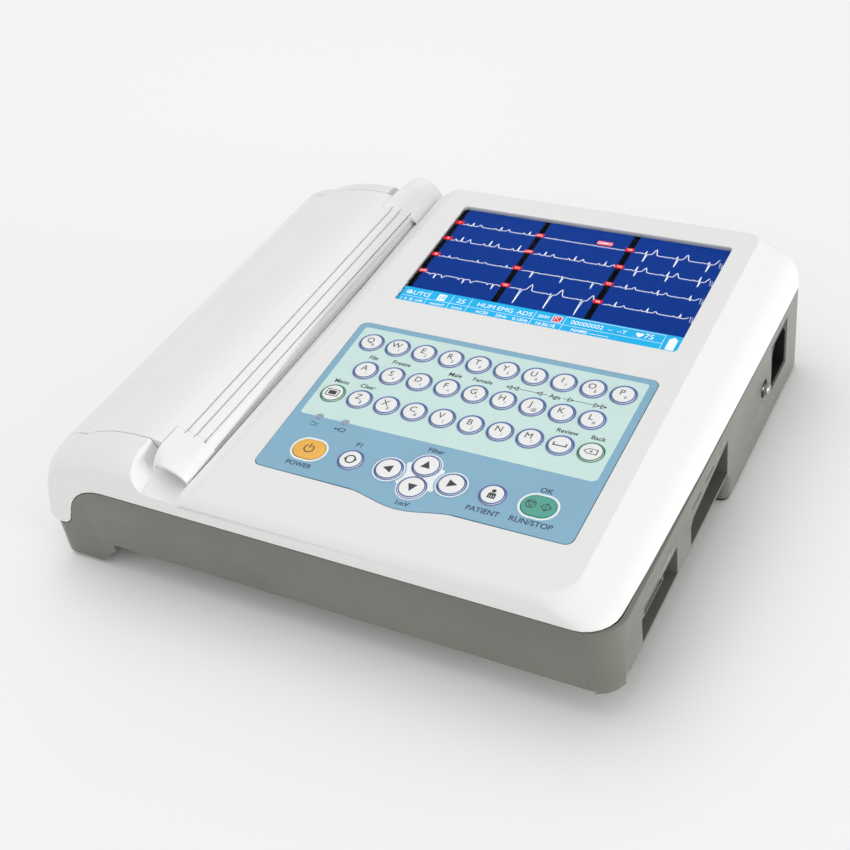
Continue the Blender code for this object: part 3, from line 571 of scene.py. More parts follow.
def refined(cad, name, look, body, slot, width, cutters=()):
    """A moulding from its CAD solid: welded, its flat faces made whole, cut, and its edges rounded."""
    shape = bmesh.new()
    shape.from_mesh(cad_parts[cad].data)
    bmesh.ops.remove_doubles(shape, verts=shape.verts, dist=2e-6)
    bmesh.ops.dissolve_limit(shape, angle_limit=radians(0.5), verts=shape.verts, edges=shape.edges)
    made = solid(name, [(shape, look)], [look])
    for cutter in cutters:
        tool = solid("cutter", [(cutter, look)], [look])
        boolean = made.modifiers.new("cut", "BOOLEAN")
        boolean.operation, boolean.solver, boolean.object = "DIFFERENCE", "EXACT", tool
        bpy.context.view_layer.update()
        mesh = bpy.data.meshes.new_from_object(made.evaluated_get(bpy.context.evaluated_depsgraph_get()))
        made.modifiers.clear()
        made.data = mesh
        bpy.data.objects.remove(tool)
    whole = bmesh.new()
    whole.from_mesh(made.data)
    bpy.data.objects.remove(made)
    made = solid(name, [(rounded(whole, width), look)], [look], smooth=SHARP)
    whole.free()
    normals = made.modifiers.new("normals", "WEIGHTED_NORMAL")
    normals.keep_sharp = True
    return settle(made, body, slot, cad)


def slots_in(count, low, high, step):
    """Evenly spaced copies of a slot-shaped cutter."""
    whole = bmesh.new()
    for i in range(count):
        near, far = [[a + i * s for a, s in zip(corner, step)] for corner in (low, high)]
        absorb(whole, block(near, far))
    return whole


def housings():
    rear_vents = slots_in(14, (20, 126, 14), (22, 131, 34), (5, 0, 0))
    floor_vents = slots_in(12, (70, 30, 0), (72, 70, 6), (4.5, 0, 0))
    refined("bottom_housing", "base_shell", GREY, "machine", "grey_base", 0.35, (rear_vents, floor_vents))
    refined("top_housing", "top_shell", WHITE, "machine", "white_housing", 0.3)
    refined("printer_door", "door_cover", DOOR_WHITE, "door", "white_housing", 0.3)
    refined("battery_cover", "battery_hatch", GREY, "machine", "grey_base", 0.4)
    for corner in ("front_left", "front_right", "rear_left", "rear_right"):
        refined(f"foot_{corner}", f"pad_{corner}", RUBBER, "machine", "black_rubber", 0.4)


# ---------------- keypad


def key_centre(cad):
    """A key's middle in the console's frame, from its CAD box."""
    low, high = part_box(cad)
    middle = CONSOLE.inverted() @ ((low + high) / 2)
    return middle.x / MM, middle.y / MM


KEYS = {cad: key_centre(cad) for cad in sorted(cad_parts) if cad.startswith("key_")}
OVALS = ("key_power", "key_run")
ARROWS = ("key_left", "key_up", "key_down", "key_right")
GREEN_RINGED = ("key_menu", "key_back")


def key_reach(cad):
    """A round key's radius, or half an oval key's height."""
    if cad in OVALS:
        return OVAL_HIGH
    return ARROW_RADIUS if cad in ARROWS else KEY_RADIUS


def key_outline(cad, grow=0.0):
    if cad in OVALS:
        wide, high = OVAL_WIDE + grow, OVAL_HIGH + grow
        return rectangle(-wide, wide, -high, high, [high * 0.98] * 4, 14)
    return circle((0, 0), key_reach(cad) + grow)


def film_outline():
    """A rounded rectangle whose lower edge swells by the arrow keys."""
    left, right = FILM_LEFT + FILM_CORNER, FILM_RIGHT - FILM_CORNER
    low, high = FILM_BOTTOM + FILM_CORNER, FILM_TOP - FILM_CORNER
    points = arc((left, low), FILM_CORNER, 180, 270, 8)
    for i in range(1, 40):
        share = -1 + i / 20
        swell = BULGE * (1 + cos(pi * share)) / 2
        points.append((BULGE_CENTRE + share * BULGE_HALF, FILM_BOTTOM - swell))
    for centre, angle in (((right, low), 270), ((right, high), 0), ((left, high), 90)):
        points += arc(centre, FILM_CORNER, angle, angle + 90, 8)
    return points


def holes(names, grow):
    return [moved(key_outline(cad, grow), *KEYS[cad]) for cad in names]


def ring(cad, inner, outer, level, colour):
    """A printed ring round a key."""
    outlines = [moved(key_outline(cad, outer), *KEYS[cad]), moved(key_outline(cad, inner), *KEYS[cad])]
    return flat(outlines, level, level + PRINT), colour


def triangle(size, degrees):
    return [(size * cos(radians(degrees + a)), size * sin(radians(degrees + a))) for a in (0, 125, 235)]


def key_rings(upper):
    """The printed rings round the keys, and the white field between the arrow keys."""
    parts = []
    for cad in upper:
        inner = RING_GREEN if cad in GREEN_RINGED else RING_BLUE
        parts.append(ring(cad, KEY_GAP, RING_EDGE, 2 * PRINT, inner))
        if cad not in GREEN_RINGED:
            parts.append(ring(cad, RING_EDGE, 1.05, 2 * PRINT, RING_HALO))
    for cad in ("key_f1", "key_patient"):
        parts.append(ring(cad, KEY_GAP, RING_EDGE, PRINT, RING_BLUE))
        parts.append(ring(cad, RING_EDGE, 1.1, PRINT, RING_HALO))
    for cad in OVALS:
        parts.append(ring(cad, KEY_GAP, 1.4, PRINT, FILM_WHITE))

    left, right = KEYS["key_left"][0], KEYS["key_right"][0]
    bridge = rectangle(left + 6.5, right - 6.5, -85.6, -71.4, [1, 1, 1, 1])
    parts.append((flat([bridge] + holes(("key_up", "key_down"), KEY_GAP), 0, PRINT), FILM_WHITE))
    for cad in ("key_up", "key_down"):
        parts.append(ring(cad, KEY_GAP, 1.3, 1.5 * PRINT, FILM_WHITE))
        parts.append(ring(cad, KEY_GAP, 0.7, 5 * PRINT, RING_BLUE))
    for cad in ("key_left", "key_right"):
        parts.append(ring(cad, KEY_GAP, 2.0, 3 * PRINT, FILM))
        parts.append(ring(cad, KEY_GAP, 1.35, 4 * PRINT, FILM_WHITE))
        parts.append(ring(cad, KEY_GAP, 0.7, 5 * PRINT, RING_BLUE))
    return parts


def legends():
    """The words printed beside the keys."""
    parts = []
    for text, u, v in (
        ("File", 6.9, -10.4), ("Freeze", 22.7, -10.3), ("Male", 52.5, -10.3), ("Female", 67.2, -10.3),
        ("Age", 104.9, -10.5), ("Menu", 0.2, -31.2), ("Clear", 14.7, -30.9), ("Review", 119.8, -31.0),
        ("Back", 134.9, -30.9),
    ):
        parts.append((words(text, 3.7, u, v, *ON_MINT, 0.05), INK))
    for text, size, u, v in (
        ("F1", 3.9, 31.0, -68.9), ("Filter", 3.9, 67.5, -61.3), ("1mV", 3.9, 67.4, -96.3),
        ("OK", 4.1, 125.8, -68.9), ("POWER", 3.9, 9.0, -89.2), ("PATIENT", 4.1, 103.7, -89.0),
        ("RUN/STOP", 4.3, 126.6, -88.8),
    ):
        parts.append((words(text, size, u, v, *ON_FILM, 0.06), INK_BLUE))
    return parts


def age_arrows():
    """A line with three open arrowheads on each side of the word for age."""
    parts = []
    for side, near, far in ((-1, 99.3, 80.3), (1, 110.4, 130.2)):
        heading = 0 if side > 0 else 180
        parts.append((ribbon([(near - side * 1.5, AGE_ROW), (far, AGE_ROW)], 0.3, 3 * PRINT), INK))
        for tip in (near + side * 3.2, far - side * 0.2, far - side * 3.6):
            head = [moved(triangle(size, heading), tip - side, AGE_ROW) for size in (2.0, 1.3)]
            parts.append((flat(head, *ON_MINT), INK))
    return parts


def indicator(u):
    """An indicator light's dome and its printed rim."""
    profile = [(0, -0.05), (1.75, -0.05), (1.7, 0.1), (1.45, 0.42), (1.0, 0.68), (0.5, 0.8), (0, 0.83)]
    dome = at(turned(profile, 32), place_mm(u, LAMP_ROW))
    rim = flat([circle((u, LAMP_ROW), 2.15), circle((u, LAMP_ROW), 1.7)], PRINT, 3 * PRINT)
    return [(dome, LAMP), (rim, RING_HALO)]


def mains_sign(u):
    """A wave over a bar."""
    wave = [(u - 2.2 + 0.22 * i, -61.6 + 0.55 * sin(2 * pi * i / 20)) for i in range(21)]
    bar = [(u - 2.2, -63.2), (u + 2.2, -63.2)]
    return [(ribbon(line, 0.38, 2 * PRINT), INK_BLUE) for line in (wave, bar)]


def battery_sign(u):
    """A battery with an arrow into it."""
    case = [rectangle(u - 0.9, u + 2.7, -63.4, -61.2, [0.3] * 4)]
    case.append(rectangle(u - 0.5, u + 2.3, -63.0, -61.6, [0.1] * 4))
    knob = rectangle(u - 1.4, u - 0.9, -62.8, -61.8)
    head = moved(triangle(0.9, 0), u - 2.3, -62.3)
    parts = [(flat(outline, *ON_FILM), INK_BLUE) for outline in (case, knob, head)]
    return parts + [(ribbon([(u - 3.6, -62.3), (u - 2.4, -62.3)], 0.35, 2 * PRINT), INK_BLUE)]


def keypad():
    upper = [cad for cad in KEYS if KEYS[cad][1] > MINT_BOTTOM]
    mint_edge = rectangle(MINT_LEFT, MINT_RIGHT, MINT_BOTTOM, MINT_TOP, [1.5, 3, 1.5, 1.5])
    parts = [(flat([film_outline()] + holes(KEYS, KEY_GAP), -FILM_THICKNESS, 0), FILM)]
    parts.append((flat([mint_edge] + holes(upper, KEY_GAP), 0, PRINT), MINT))
    parts += key_rings(upper) + legends() + age_arrows()
    parts += indicator(MAINS_LAMP) + mains_sign(MAINS_LAMP)
    parts += indicator(BATTERY_LAMP) + battery_sign(BATTERY_LAMP)
    looks = [FILM, MINT, FILM_WHITE, RING_BLUE, RING_HALO, RING_GREEN, INK, INK_BLUE, LAMP]
    settle(solid("keypad_film", parts, looks, CONSOLE), "machine", "keypad_film", "keypad_overlay")


SMALL_SIGNS = dict(zip("qwertyuiopasdfghjklzxcvbnm", "0123456789-+<=>?@!#$%&()/\\"))


def key_ink(cad):
    return INK_BROWN if cad == "key_power" else INK


def icon(cad, low, high):
    """The sign on a key, as shapes around its middle."""

    def shape(outlines):
        return flat(outlines, low, high), key_ink(cad)

    def stroke(points):
        return ribbon(points, 0.3, high), key_ink(cad)

    name = cad[4:]
    if len(name) == 1:
        letter = words(name.upper(), 5.2, -0.8, 0.9, low, high)
        sign = words(SMALL_SIGNS[name], 2.9, 1.7, -2.2, low, high)
        return [(letter, key_ink(cad)), (sign, INK_GREY)]
    if name in ("left", "right", "up", "down"):
        degrees = {"left": 180, "right": 0, "up": 90, "down": 270}[name]
        return [shape(triangle(2.9, degrees))]
    if name == "menu":
        outer = rectangle(-3.5, 3.5, -2.4, 2.4, [0.9] * 4)
        inner = rectangle(-3.1, 3.1, -2.0, 2.0, [0.6] * 4)
        return [shape([outer, inner]), shape(rectangle(-2.1, 2.1, -1.35, 1.35, [0.5] * 4))]
    if name == "space":
        bar = [(-3.4, 1.1), (-3.4, -1.1), (3.4, -1.1), (3.4, 1.1)]
        bar += [(2.8, 1.1), (2.8, -0.5), (-2.8, -0.5), (-2.8, 1.1)]
        return [shape(bar)]
    if name == "back":
        outer = [(-3.6, 0), (-1.4, -1.7), (3.2, -1.7), (3.2, 1.7), (-1.4, 1.7)]
        inner = [(x * 0.86, y * 0.78) for x, y in outer]
        cross = [[(0.1 + s * 0.7, 0.7), (0.1 - s * 0.7, -0.7)] for s in (1, -1)]
        return [shape([outer, inner])] + [stroke(line) for line in cross]
    if name == "f1":
        rim = [circle((0, 0), 2.7), circle((0, 0), 2.0)]
        heads = [moved(triangle(1.1, turn), 2.35 * cos(radians(side)), 2.35 * sin(radians(side)))
                 for side, turn in ((0, 270), (180, 90))]
        return [shape(rim)] + [shape(head) for head in heads]
    if name == "patient":
        body = rectangle(-1.9, 1.9, -2.6, 0.7, [0.2, 0.2, 0.9, 0.9])
        gaps = [rectangle(x - 0.14, x + 0.14, -2.2, -0.6) for x in (-1.0, 0.0, 1.0)]
        return [shape(circle((0, 2.0), 1.05, 24)), shape([body] + gaps)]
    if name == "power":
        sweep = arc((0, 0), 2.7, 122, 418, 30) + arc((0, 0), 2.05, 418, 122, 30)
        return [shape(sweep), shape(rectangle(-0.34, 0.34, 0.4, 3.3, [0.3] * 4))]
    wheel = [circle((-3.6, 0), 2.5), circle((-3.6, 0), 2.1)]
    wedge = [moved(triangle(2.2, 270), -3.6, 0.1), moved(triangle(1.5, 270), -3.6, 0.1)]
    corners = ((-2.7, 0), (0, -2.5), (2.7, 0), (0, 2.5))
    diamond = [[(3.6 + x * s, y * s) for x, y in corners] for s in (1, 0.8)]
    return [shape(wheel), shape(wedge), shape(diamond), stroke([(3.6, -2.1), (3.6, 2.1)])]


def cap_body(cad):
    """A key cap: a straight skirt, a rounded edge, a printed rim and a slightly crowned top."""
    steps = [(0.0, KEY_FOOT), (0.0, 0.22), (-0.06, 0.38), (-0.2, 0.5), (-0.4, 0.57), (-0.62, KEY_TOP)]
    reach = key_reach(cad)
    for share in (0.8, 0.6, 0.4, 0.2):
        steps.append((-reach * (1 - share), KEY_TOP + KEY_CROWN * (1 - share * share)))
    shape = bmesh.new()
    rings = []
    for grow, z in steps:
        rings.append([shape.verts.new((x * MM, y * MM, z * MM)) for x, y in key_outline(cad, grow)])
    rim = []
    for index, (low, high) in enumerate(zip(rings, rings[1:])):
        for i in range(len(low)):
            j = (i + 1) % len(low)
            face = shape.faces.new((low[i], low[j], high[j], high[i]))
            if index in (2, 3, 4):
                rim.append(face)
    shape.faces.new(rings[0])
    shape.faces.new(rings[-1])
    return shape, rim


def key_caps():
    coloured = {"key_power": (ORANGE, "key_orange"), "key_run": (GREEN, "key_green")}
    for cad, (u, v) in KEYS.items():
        look, slot = coloured.get(cad, (CAP, "key_white"))
        edge = RING_GREEN if cad in GREEN_RINGED else RING_BLUE
        shape, rim = cap_body(cad)
        rim_faces = bmesh.new()
        if cad not in OVALS:
            shape.faces.index_update()
            rim_numbers = {face.index for face in rim}
            rim_faces = shape.copy()
            rim_faces.faces.index_update()
            spare = [face for face in rim_faces.faces if face.index not in rim_numbers]
            bmesh.ops.delete(rim_faces, geom=spare, context="FACES")
            bmesh.ops.delete(shape, geom=rim, context="FACES_ONLY")
        signs = icon(cad, KEY_TOP - 0.1, KEY_TOP + KEY_CROWN + PRINT)
        looks = [look, edge, key_ink(cad), INK_GREY]
        parts = [(shape, look), (rim_faces, edge)] + signs
        made = solid("cap_" + cad[4:], parts, looks, CONSOLE @ place_mm(u, v), smooth=50.0)
        settle(made, cad, slot, cad)


# ---------------- display


def heartbeat(t, shape):
    """One lead's height at a time t, in beats, as humps and spikes of one heartbeat."""
    t %= 1.0
    return sum(height * exp(-(((t - centre) / width) ** 2)) for centre, width, height in shape)


P, Q_DIP, T = (0.20, 0.028, 0.9), (0.36, 0.010, -0.6), (0.66, 0.050, 1.6)
LEADS = {
    "I": [P, Q_DIP, (0.39, 0.012, 3.0), T],
    "II": [(0.20, 0.03, 1.3), (0.39, 0.012, 4.6), (0.66, 0.05, 2.6)],
    "III": [(0.20, 0.03, 0.5), (0.39, 0.012, 2.0), (0.66, 0.05, 0.9)],
    "aVR": [(0.20, 0.03, -1.0), (0.39, 0.012, -4.0), (0.66, 0.05, -1.8)],
    "aVL": [(0.39, 0.012, 0.5), (0.66, 0.05, 0.3)],
    "aVF": [(0.20, 0.03, 1.0), (0.39, 0.012, 3.4), (0.66, 0.05, 1.8)],
    "V1": [(0.20, 0.03, 0.6), (0.37, 0.01, 1.0), (0.40, 0.014, -7.0), (0.66, 0.05, -0.6)],
    "V2": [(0.20, 0.03, 0.6), (0.37, 0.012, 2.0), (0.40, 0.018, -16.0), (0.64, 0.07, 6.5)],
    "V3": [(0.20, 0.03, 0.6), (0.37, 0.012, 3.0), (0.40, 0.014, -9.0), (0.64, 0.06, 6.0)],
    "V4": [(0.20, 0.03, 0.7), (0.37, 0.012, 5.0), (0.40, 0.012, -6.0), (0.64, 0.06, 4.6)],
    "V5": [(0.20, 0.03, 0.8), (0.38, 0.012, 4.4), (0.41, 0.012, -1.6), (0.64, 0.05, 2.4)],
    "V6": [(0.20, 0.03, 0.8), (0.38, 0.012, 4.6), (0.41, 0.012, -0.8), (0.64, 0.05, 2.0)],
}
BEAT = 17.0


def trace(name, left, right, level):
    """A lead's line across its column."""
    shape = LEADS[name]
    swing = 0.8 if name.startswith("V") else 1.2
    count = int((right - left) / 0.22)
    points = []
    for i in range(count + 1):
        u = left + (right - left) * i / count
        ripple = 0.14 * sin(u * 2.7) + 0.1 * sin(u * 7.1 + level)
        points.append((u, level + heartbeat((u - left) / BEAT + 0.02, shape) * swing + ripple))
    return points


def fields():
    """The navy ground, the cyan status row and the black bars before the columns."""
    across = SCREEN_LEFT + SCREEN_MARGIN, SCREEN_RIGHT - SCREEN_MARGIN
    bottom, top = SCREEN_BOTTOM + SCREEN_MARGIN, SCREEN_TOP - SCREEN_MARGIN
    parts = [(flat(rectangle(*across, bottom, top, [2] * 4), PICTURE - 0.01, FIELDS[0]), LCD_NAVY)]
    parts.append((flat(rectangle(*across, bottom, STATUS_TOP, [2, 2, 0, 0]), *FIELDS), LCD_CYAN))
    for left, right in LEAD_BARS:
        first = left == SCREEN_LEFT
        bar = rectangle(left + SCREEN_MARGIN * first, right, STATUS_TOP, top, [0, 0, 0, 2 * first])
        parts.append((flat(bar, *FIELDS), LCD_BLACK))
    return parts


def traces():
    """The twelve leads with their name tags, and the tall marks at the end of each row."""
    ends = [LEAD_BARS[1][0], LEAD_BARS[2][0], SWEEP_LEFT]
    parts = []
    for index, name in enumerate(LEADS):
        column, row = divmod(index, 4)
        left, right = LEAD_BARS[column]
        height = LEAD_ROWS[row]
        line = trace(name, right + 1.6, ends[column] - 0.8, height - TRACE_DROP)
        parts.append((ribbon(line, 0.42, SIGNS[0]), LCD_WHITE))
        middle = max((left + right) / 2, SCREEN_LEFT + 2.6)
        tag = rectangle(middle - 2.4, middle + 2.4, height - 1.5, height + 1.5, [0.3] * 4)
        parts.append((flat(tag, *SIGNS), LCD_RED))
        parts.append((words(name, 2.4, middle, height, *OVER_SIGNS), LCD_WHITE))
    for height in LEAD_ROWS:
        sweep = [(SWEEP_LEFT + 0.6 * i, height - TRACE_DROP + (-1) ** i * 2.3) for i in range(4)]
        parts.append((ribbon(sweep, 0.34, SIGNS[0]), LCD_WHITE))
    parts.append((flat(rectangle(77.0, 85.6, 111.0, 114.6, [0.4] * 4), *SIGNS), LCD_RED))
    parts.append((words("DEMO", 2.9, 81.3, 112.8, *OVER_SIGNS, 0.04), LCD_WHITE))
    return parts


def status_row():
    """The settings under the traces, and the lines between them."""
    parts = []
    for text, size, u, v in (
        ("AUTO", 4.6, 3.2, 46.0), ("I  II  III  aVR", 2.7, 1.6, 40.4), ("mm/mV", 2.6, 16.6, 40.4),
        ("25", 5.0, 28.0, 46.0), ("mm/s", 2.8, 28.0, 40.4), ("HUM", 4.6, 42.4, 46.0),
        ("AC50", 3.0, 42.2, 40.6), ("EMG", 4.6, 53.2, 46.0), ("35Hz", 3.0, 53.2, 40.6),
        ("ADS", 4.6, 64.0, 46.0), ("0.15Hz", 3.0, 63.8, 40.6), ("20/01", 3.0, 74.6, 46.2),
        ("16:56:18", 3.2, 77.4, 40.6), ("00000002", 4.4, 98.0, 46.0), ("--  --Y", 4.0, 114.0, 46.0),
        ("NAME: ----------", 3.1, 101.5, 40.5), ("75", 5.2, 130.6, 46.0),
    ):
        weight = 0.03 if size < 4 else 0.0
        parts.append((words(text, size, u, v, *SIGNS, weight), LCD_WHITE))
    parts.append((flat(rectangle(14.4, 19.0, 43.6, 48.6, [0.3] * 4), *SIGNS), LCD_WHITE))
    parts.append((words("10", 3.8, 16.7, 46.0, *OVER_SIGNS, 0.05), LCD_CYAN))
    rules = [[(SCREEN_LEFT + 1, 43.0), (138.0, 43.0)]]
    rules += [[(u, 38.4), (u, 49.4)] for u in (9.6, 22.6, 33.2, 69.4, 86.0, 138.1)]
    rules.append([(86.0, 49.4), (138.1, 49.4)])
    return parts + [(ribbon(rule, 0.24, SIGNS[1]), LCD_WHITE) for rule in rules]


def status_signs():
    """A red tile with a crossed-out corner, a heart, a battery and a dial."""
    tile = [rectangle(79.2, 84.4, 43.9, 48.7, [0.3] * 4), rectangle(79.6, 84.0, 44.3, 48.3, [0.2] * 4)]
    parts = [(flat(tile, *SIGNS), LCD_WHITE), (flat(tile[1], *SIGNS), LCD_RED)]
    for stroke in ([(80.2, 47.8), (83.4, 44.8)], [(80.6, 45.0), (80.6, 47.2), (83.0, 47.4)]):
        parts.append((ribbon(stroke, 0.3, OVER_SIGNS[1]), LCD_WHITE))
    lobes = arc((-0.95, 0.6), 1.05, 200, 20, 10) + arc((0.95, 0.6), 1.05, 160, -20, 10)
    heart = moved(lobes + [(0, -2.0)], 125.6, 46.0)
    cell = rectangle(140.6, 144.9, 39.2, 47.6, [0.5] * 4)
    knob = rectangle(141.8, 143.7, 47.6, 48.6)
    dial = [circle((-2.8, 46.2), radius, steps) for radius, steps in ((1.5, 24), (1.1, 24), (0.5, 16))]
    return parts + [(flat(outline, *SIGNS), LCD_WHITE) for outline in (heart, cell, knob, dial)]


def picture():
    """The display's picture, a hair over the panel's glass."""
    parts = fields() + traces() + status_row() + status_signs()
    looks = [LCD_NAVY, LCD_BLACK, LCD_CYAN, LCD_RED, LCD_WHITE]
    settle(solid("display_picture", parts, looks, CONSOLE), "machine", "lcd")


# ---------------- right side

OUT_RIGHT = Matrix.Rotation(pi / 2, 4, "Y")  # turns +Z into +X
# A drawing in (y, z, x) goes on the side face
ON_SIDE = Matrix(((0, 0, 1, 0), (1, 0, 0, 0), (0, 1, 0, 0), (0, 0, 0, 1)))


def mains_inlet():
    low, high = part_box("ac_inlet")
    middle, foot = (low.y + high.y) / 2 / MM, low.z / MM
    blades = []
    for y, z in ((middle - 6, foot + 10), (middle + 6, foot + 10), (middle, foot + 18)):
        blades.append((block((134.1, y - 1.15, z - 2.35), (143.3, y + 1.15, z + 2.35), 0.5), STEEL))
    settle(solid("inlet_blades", blades, [STEEL]), "machine", "steel")
    refined("ac_inlet", "inlet_body", BLACK, "machine", "black_plastic", 0.4)


def ground_stud():
    low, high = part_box("ground_stud")
    y, z = (low.y + high.y) / 2, (low.z + high.z) / 2
    profile = [(0, 136), (2, 136), (2, 146.9), (4.0, 146.9), (4.0, 148.2), (2.0, 148.2)]
    profile += [(2.0, 150.0), (2.7, 150.3), (3.0, 150.8), (3.0, 152.5), (2.7, 153.0)]
    profile += [(2.1, 153.35), (1.2, 153.48), (0, 153.5)]
    knob = at(turned(profile), Matrix.Translation((0, y, z)) @ OUT_RIGHT)
    washer = flat([circle((y / MM, z / MM), 5.0), circle((y / MM, z / MM), 4.4)], 146.7, 147.0)
    settle(solid("stud", [(knob, STEEL)], [STEEL]), "machine", "steel", "ground_stud")
    settle(solid("stud_washer", [(at(washer, ON_SIDE), BRASS)], [BRASS]), "machine", "steel")


def patient_connector():
    """The fifteen-way socket's insert with its pin holes, and the two jack nuts beside it."""
    refined("patient_socket", "patient_shell", STEEL, "machine", "steel", 0.2)
    insert = [(-97.0, 26.5), (-75.0, 26.5), (-76.3, 31.7), (-95.7, 31.7)]
    parts = [(at(flat(insert, 144.4, 145.6), ON_SIDE), BLACK)]
    for row, count, z in ((0, 8, 30.0), (1, 7, 28.0)):
        for i in range(count):
            y = -95.4 + 1.38 + row * 1.38 + i * 2.55
            hole = turned([(0.72, 0), (0.72, 0.25), (0.42, 0.25), (0.42, 0.0)], 16)
            parts.append((at(hole, place_mm(145.5, y, z) @ OUT_RIGHT), BRASS))
    settle(solid("patient_insert", parts, [BLACK, BRASS]), "machine", "black_plastic")
    nuts = []
    for y in (-102.2, -69.8):
        profile = [(0, 144.0), (2.3, 144.0), (2.3, 146.6), (2.0, 147.0)]
        profile += [(1.2, 147.0), (1.2, 145.2), (0, 145.2)]
        nuts.append((at(turned(profile, 6), place_mm(0, y, 29.0) @ OUT_RIGHT), STEEL))
    settle(solid("jack_nuts", nuts, [STEEL], smooth=20), "machine", "steel")


def mouth(outer, inner, depth, rim_look, back_look):
    """A socket's rim, standing out of the rear pocket's wall, and the wall inside it."""
    rim = at(flat([outer, inner], POCKET_X, POCKET_X + depth), ON_SIDE)
    back = at(flat(inner, POCKET_X, POCKET_X + 0.15), ON_SIDE)
    return [(rim, rim_look), (back, back_look)]


def data_sockets():
    """A USB socket, a network socket and a card slot in the rear pocket."""
    x, y = POCKET_X, -24.0
    outer = rectangle(y - 6.8, y + 6.8, 25.4, 31.6, [0.5] * 4)
    parts = mouth(outer, rectangle(y - 6.2, y + 6.2, 26.0, 31.0, [0.3] * 4), 1.6, STEEL, BLACK)
    parts.append((block((x + 0.1, y - 5.2, 29.0), (x + 1.2, y + 5.2, 30.6), 0.2), BLACK))
    y = -3.2
    outer = rectangle(y - 7.8, y + 7.8, 22.6, 35.6, [0.6] * 4)
    parts += mouth(outer, rectangle(y - 6.0, y + 6.0, 24.2, 33.0, [0.3] * 4), 1.8, BLACK, BLACK)
    for i in range(8):
        spot = y - 4.2 + i * 1.2
        parts.append((block((x + 0.1, spot - 0.22, 29.8), (x + 1.3, spot + 0.22, 32.8), 0.08), BRASS))
    # The card slot: its opening is a flat sheet of painted shade behind the rim
    outer = rectangle(-43.4, -34.6, 25.6, 31.4, [0.8] * 4)
    parts += mouth(outer, rectangle(-42.4, -35.6, 26.6, 30.4, [0.5] * 4), 1.2, BLACK, SHADOW)
    settle(solid("data_sockets", parts, [STEEL, BLACK, BRASS, SHADOW]), "machine", "black_plastic")


def side_marks():
    """The thin slots over the pockets, drawn as painted shade, and raised words by the sockets, lightened as
    a painted highlight.
    """
    parts = []
    # Dark strips of painted shade stand for the thin slots
    for left, right, z in ((-105.7, -86.9, 39.2), (-44.1, -31.6, 42.2), (-26.3, -14.0, 43.0)):
        slot = rectangle(left, right, z - 0.35, z + 0.35, [0.3] * 4)
        parts.append((at(flat(slot, SIDE_X - 0.2, SIDE_X + 0.04), ON_SIDE), SHADOW))
    # The raised words and bars are the base's plastic, lightened as a painted highlight
    level = (SIDE_X - 0.1, SIDE_X + 0.12)
    for text, size, y, z in (
        ("PATIENT", 3.2, -76.5, 41.2), ("USB", 3.0, -22, 46.6),
        ("LAN", 3.0, -2, 45.6), ("AC", 3.2, 90, 49.0),
    ):
        parts.append((at(words(text, size, y, z, *level, 0.03), ON_SIDE), RAISED_HIGHLIGHT))
    y, z = 65.2, 20.4
    bars = [rectangle(y - half, y + half, z - 0.9 * i, z - 0.9 * i + 0.35)
            for i, half in enumerate((1.7, 1.1, 0.5))]
    bars.append(rectangle(y - 0.2, y + 0.2, z, z + 1.8))
    parts += [(at(flat(bar, *level), ON_SIDE), RAISED_HIGHLIGHT) for bar in bars]
    settle(solid("side_marks", parts, [SHADOW, RAISED_HIGHLIGHT]), "machine", "grey_base")


# ---------------- underside and mechanism


def screw_head(x, y, z, radius=2.9):
    """A pan-head screw facing down, its cross recess drawn as two bars of painted shade."""
    profile = [(0, 0), (radius, 0), (radius, 0.5), (radius * 0.85, 1.0), (radius * 0.5, 1.3), (0, 1.4)]
    cap = turned(profile, 28)
    # The cross recess: dark bars of painted shade laid on the head
    bars = [block((-1.5, -0.3, 1.36), (1.5, 0.3, 1.46)), block((-0.3, -1.5, 1.365), (0.3, 1.5, 1.465))]
    turn = place_mm(x, y, z) @ Matrix.Rotation(pi, 4, "X")
    return [(at(cap, turn), STEEL)] + [(at(bar, turn), SHADOW) for bar in bars]


def underside():
    parts = []
    for x, y in ((-110, -120), (110, -120), (20, -120), (-110, -10), (110, -10)):
        parts += screw_head(x, y, 11.5)
    for x, y in ((-115, 100), (62, 112), (62, 30), (-100, 40)):
        parts += screw_head(x, y, 2.0)
    for x, y in ((-38, 78), (43, 78)):
        parts += screw_head(x, y, 2.0, 2.2)
    settle(solid("case_screws", parts, [STEEL, SHADOW]), "machine", "steel")
    plate = flat(rectangle(-60, 40, -90, -45, [2] * 4), 11.3, 11.47)
    lines = [(flat(rectangle(-54, -54 + width, y, y + 1.0), 11.22, 11.3), INK_GREY)
             for width, y in ((40, -56), (62, -62), (52, -68), (70, -74), (34, -80))]
    parts = [(plate, FILM_WHITE)] + lines
    settle(solid("rating_plate", parts, [FILM_WHITE, INK_GREY]), "machine", "grey_base")
    grip = [(block((-8, 26 + 2.2 * i, 1.72), (12, 27 + 2.2 * i, 2.1), 0.15), GREY) for i in range(5)]
    settle(solid("hatch_grip", grip, [GREY]), "machine", "grey_base")


def mechanism():
    """The parts inside keep their CAD shapes, with finished surfaces."""
    low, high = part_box("platen_roller")
    axis = (low.x + high.x) / 2 / MM, (low.z + high.z) / 2 / MM
    platen = rubber_and_shaft("platen_rubber", *axis, SHAFT_RADIUS)
    low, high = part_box("paper_roll")
    axis = (low.x + high.x) / 2 / MM, (low.z + high.z) / 2 / MM
    paper = chart_paper("paper", *axis, (high.x - low.x) / 2 / MM)
    looks = {
        "platen_roller": platen, "paper_roll": paper, "platen_gear": NYLON, "motor_pinion": NYLON,
        "drive_motor": STEEL, "print_head": BLACK, "lcd_panel": BLACK, "display_window": WINDOW,
        "main_board": BOARD, "power_supply": BOARD, "battery_pack": BATTERY,
    }
    for cad, look in looks.items():
        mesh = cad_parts[cad].data
        mesh.materials.clear()
        mesh.materials.append(look)


# ---------------- floor, light and camera


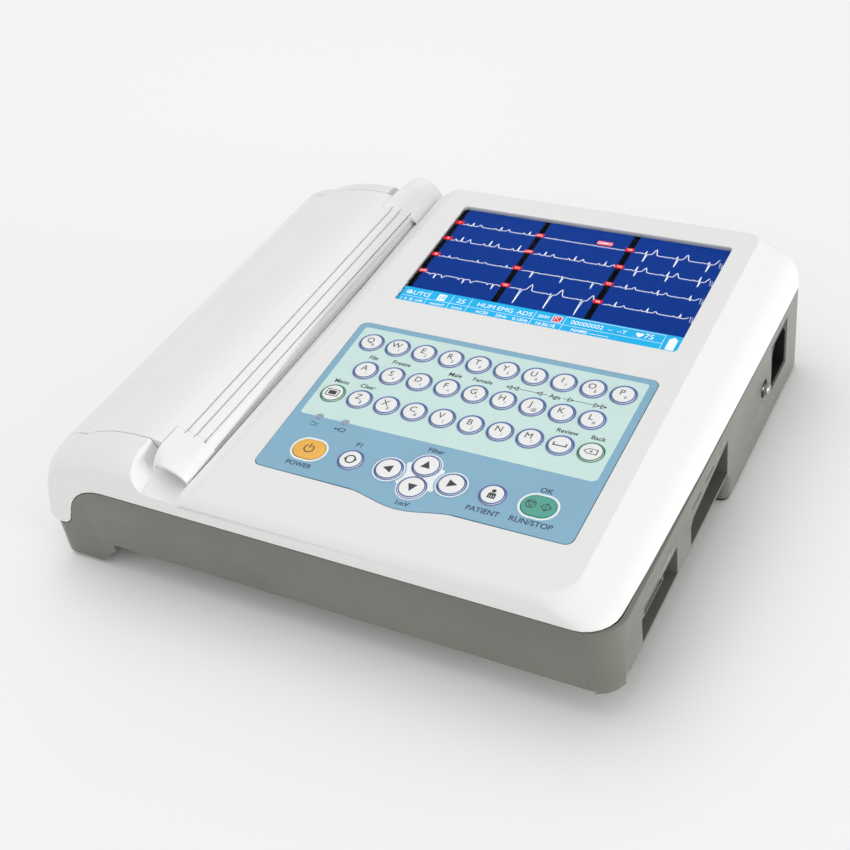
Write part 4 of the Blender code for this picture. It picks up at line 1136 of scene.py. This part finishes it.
def floor():
    mesh = bpy.data.meshes.new("floor")
    shape = bmesh.new()
    bmesh.ops.create_grid(shape, x_segments=8, y_segments=8, size=4.0)
    shape.to_mesh(mesh)
    shape.free()
    made, tree, shader, place = start("floor_paper")
    cloud = noise(tree, place, 3.0, 4.0)
    paper = tinted(tree, srgb(252, 252, 252), spread(tree, cloud, 0.995, 1.005))
    fill(tree, shader, {"Base Color": paper, "Roughness": 0.9})
    mesh.materials.append(made)
    ground = placed("floor", mesh)
    ground.location.z = -0.0002


def daylight():
    world = bpy.data.worlds.new("studio")
    world.use_nodes = True
    backdrop = world.node_tree.nodes["Background"]
    backdrop.inputs["Color"].default_value = (1.0, 1.0, 1.0, 1.0)
    backdrop.inputs["Strength"].default_value = 0.66
    bpy.context.scene.world = world


def lamps():
    for name, spot, aim, width, height, power in (
        ("right softbox", (1.9, -0.25, 0.24), (0, 0, 0.03), 1.0, 0.36, 17.0),
        ("top softbox", (-0.5, 0.3, 1.7), (0, 0, 0), 1.6, 1.6, 9.0),
        ("front fill", (-0.9, -1.5, 0.9), (0, 0, 0.03), 1.0, 1.0, 2.0),
    ):
        lamp = bpy.data.lights.new(name, "AREA")
        lamp.shape = "RECTANGLE"
        lamp.size = width
        lamp.size_y = height
        lamp.energy = power
        holder = placed(name, lamp)
        holder.location = spot
        holder.rotation_euler = (Vector(spot) - Vector(aim)).to_track_quat("Z", "Y").to_euler()


def camera():
    """The photo's view: the directions are the camera's right, up and back."""
    lens = bpy.data.cameras.new("camera")
    lens.lens = 59.76
    lens.clip_start, lens.clip_end = 0.01, 20.0
    right, up = (0.88215, 0.45429, -0.12424), (-0.20576, 0.60905, 0.76598)
    turn = Matrix((right, up, (0.42364, -0.65014, 0.63074))).transposed().to_4x4()
    holder = placed("camera", lens)
    holder.matrix_world = Matrix.Translation((0.3047, -0.4860, 0.4844)) @ turn
    bpy.context.scene.camera = holder
    bpy.context.scene.view_settings.view_transform = "Standard"


floor()
daylight()
lamps()
camera()
housings()
keypad()
key_caps()
picture()
mains_inlet()
ground_stud()
patient_connector()
data_sockets()
side_marks()
underside()
mechanism()
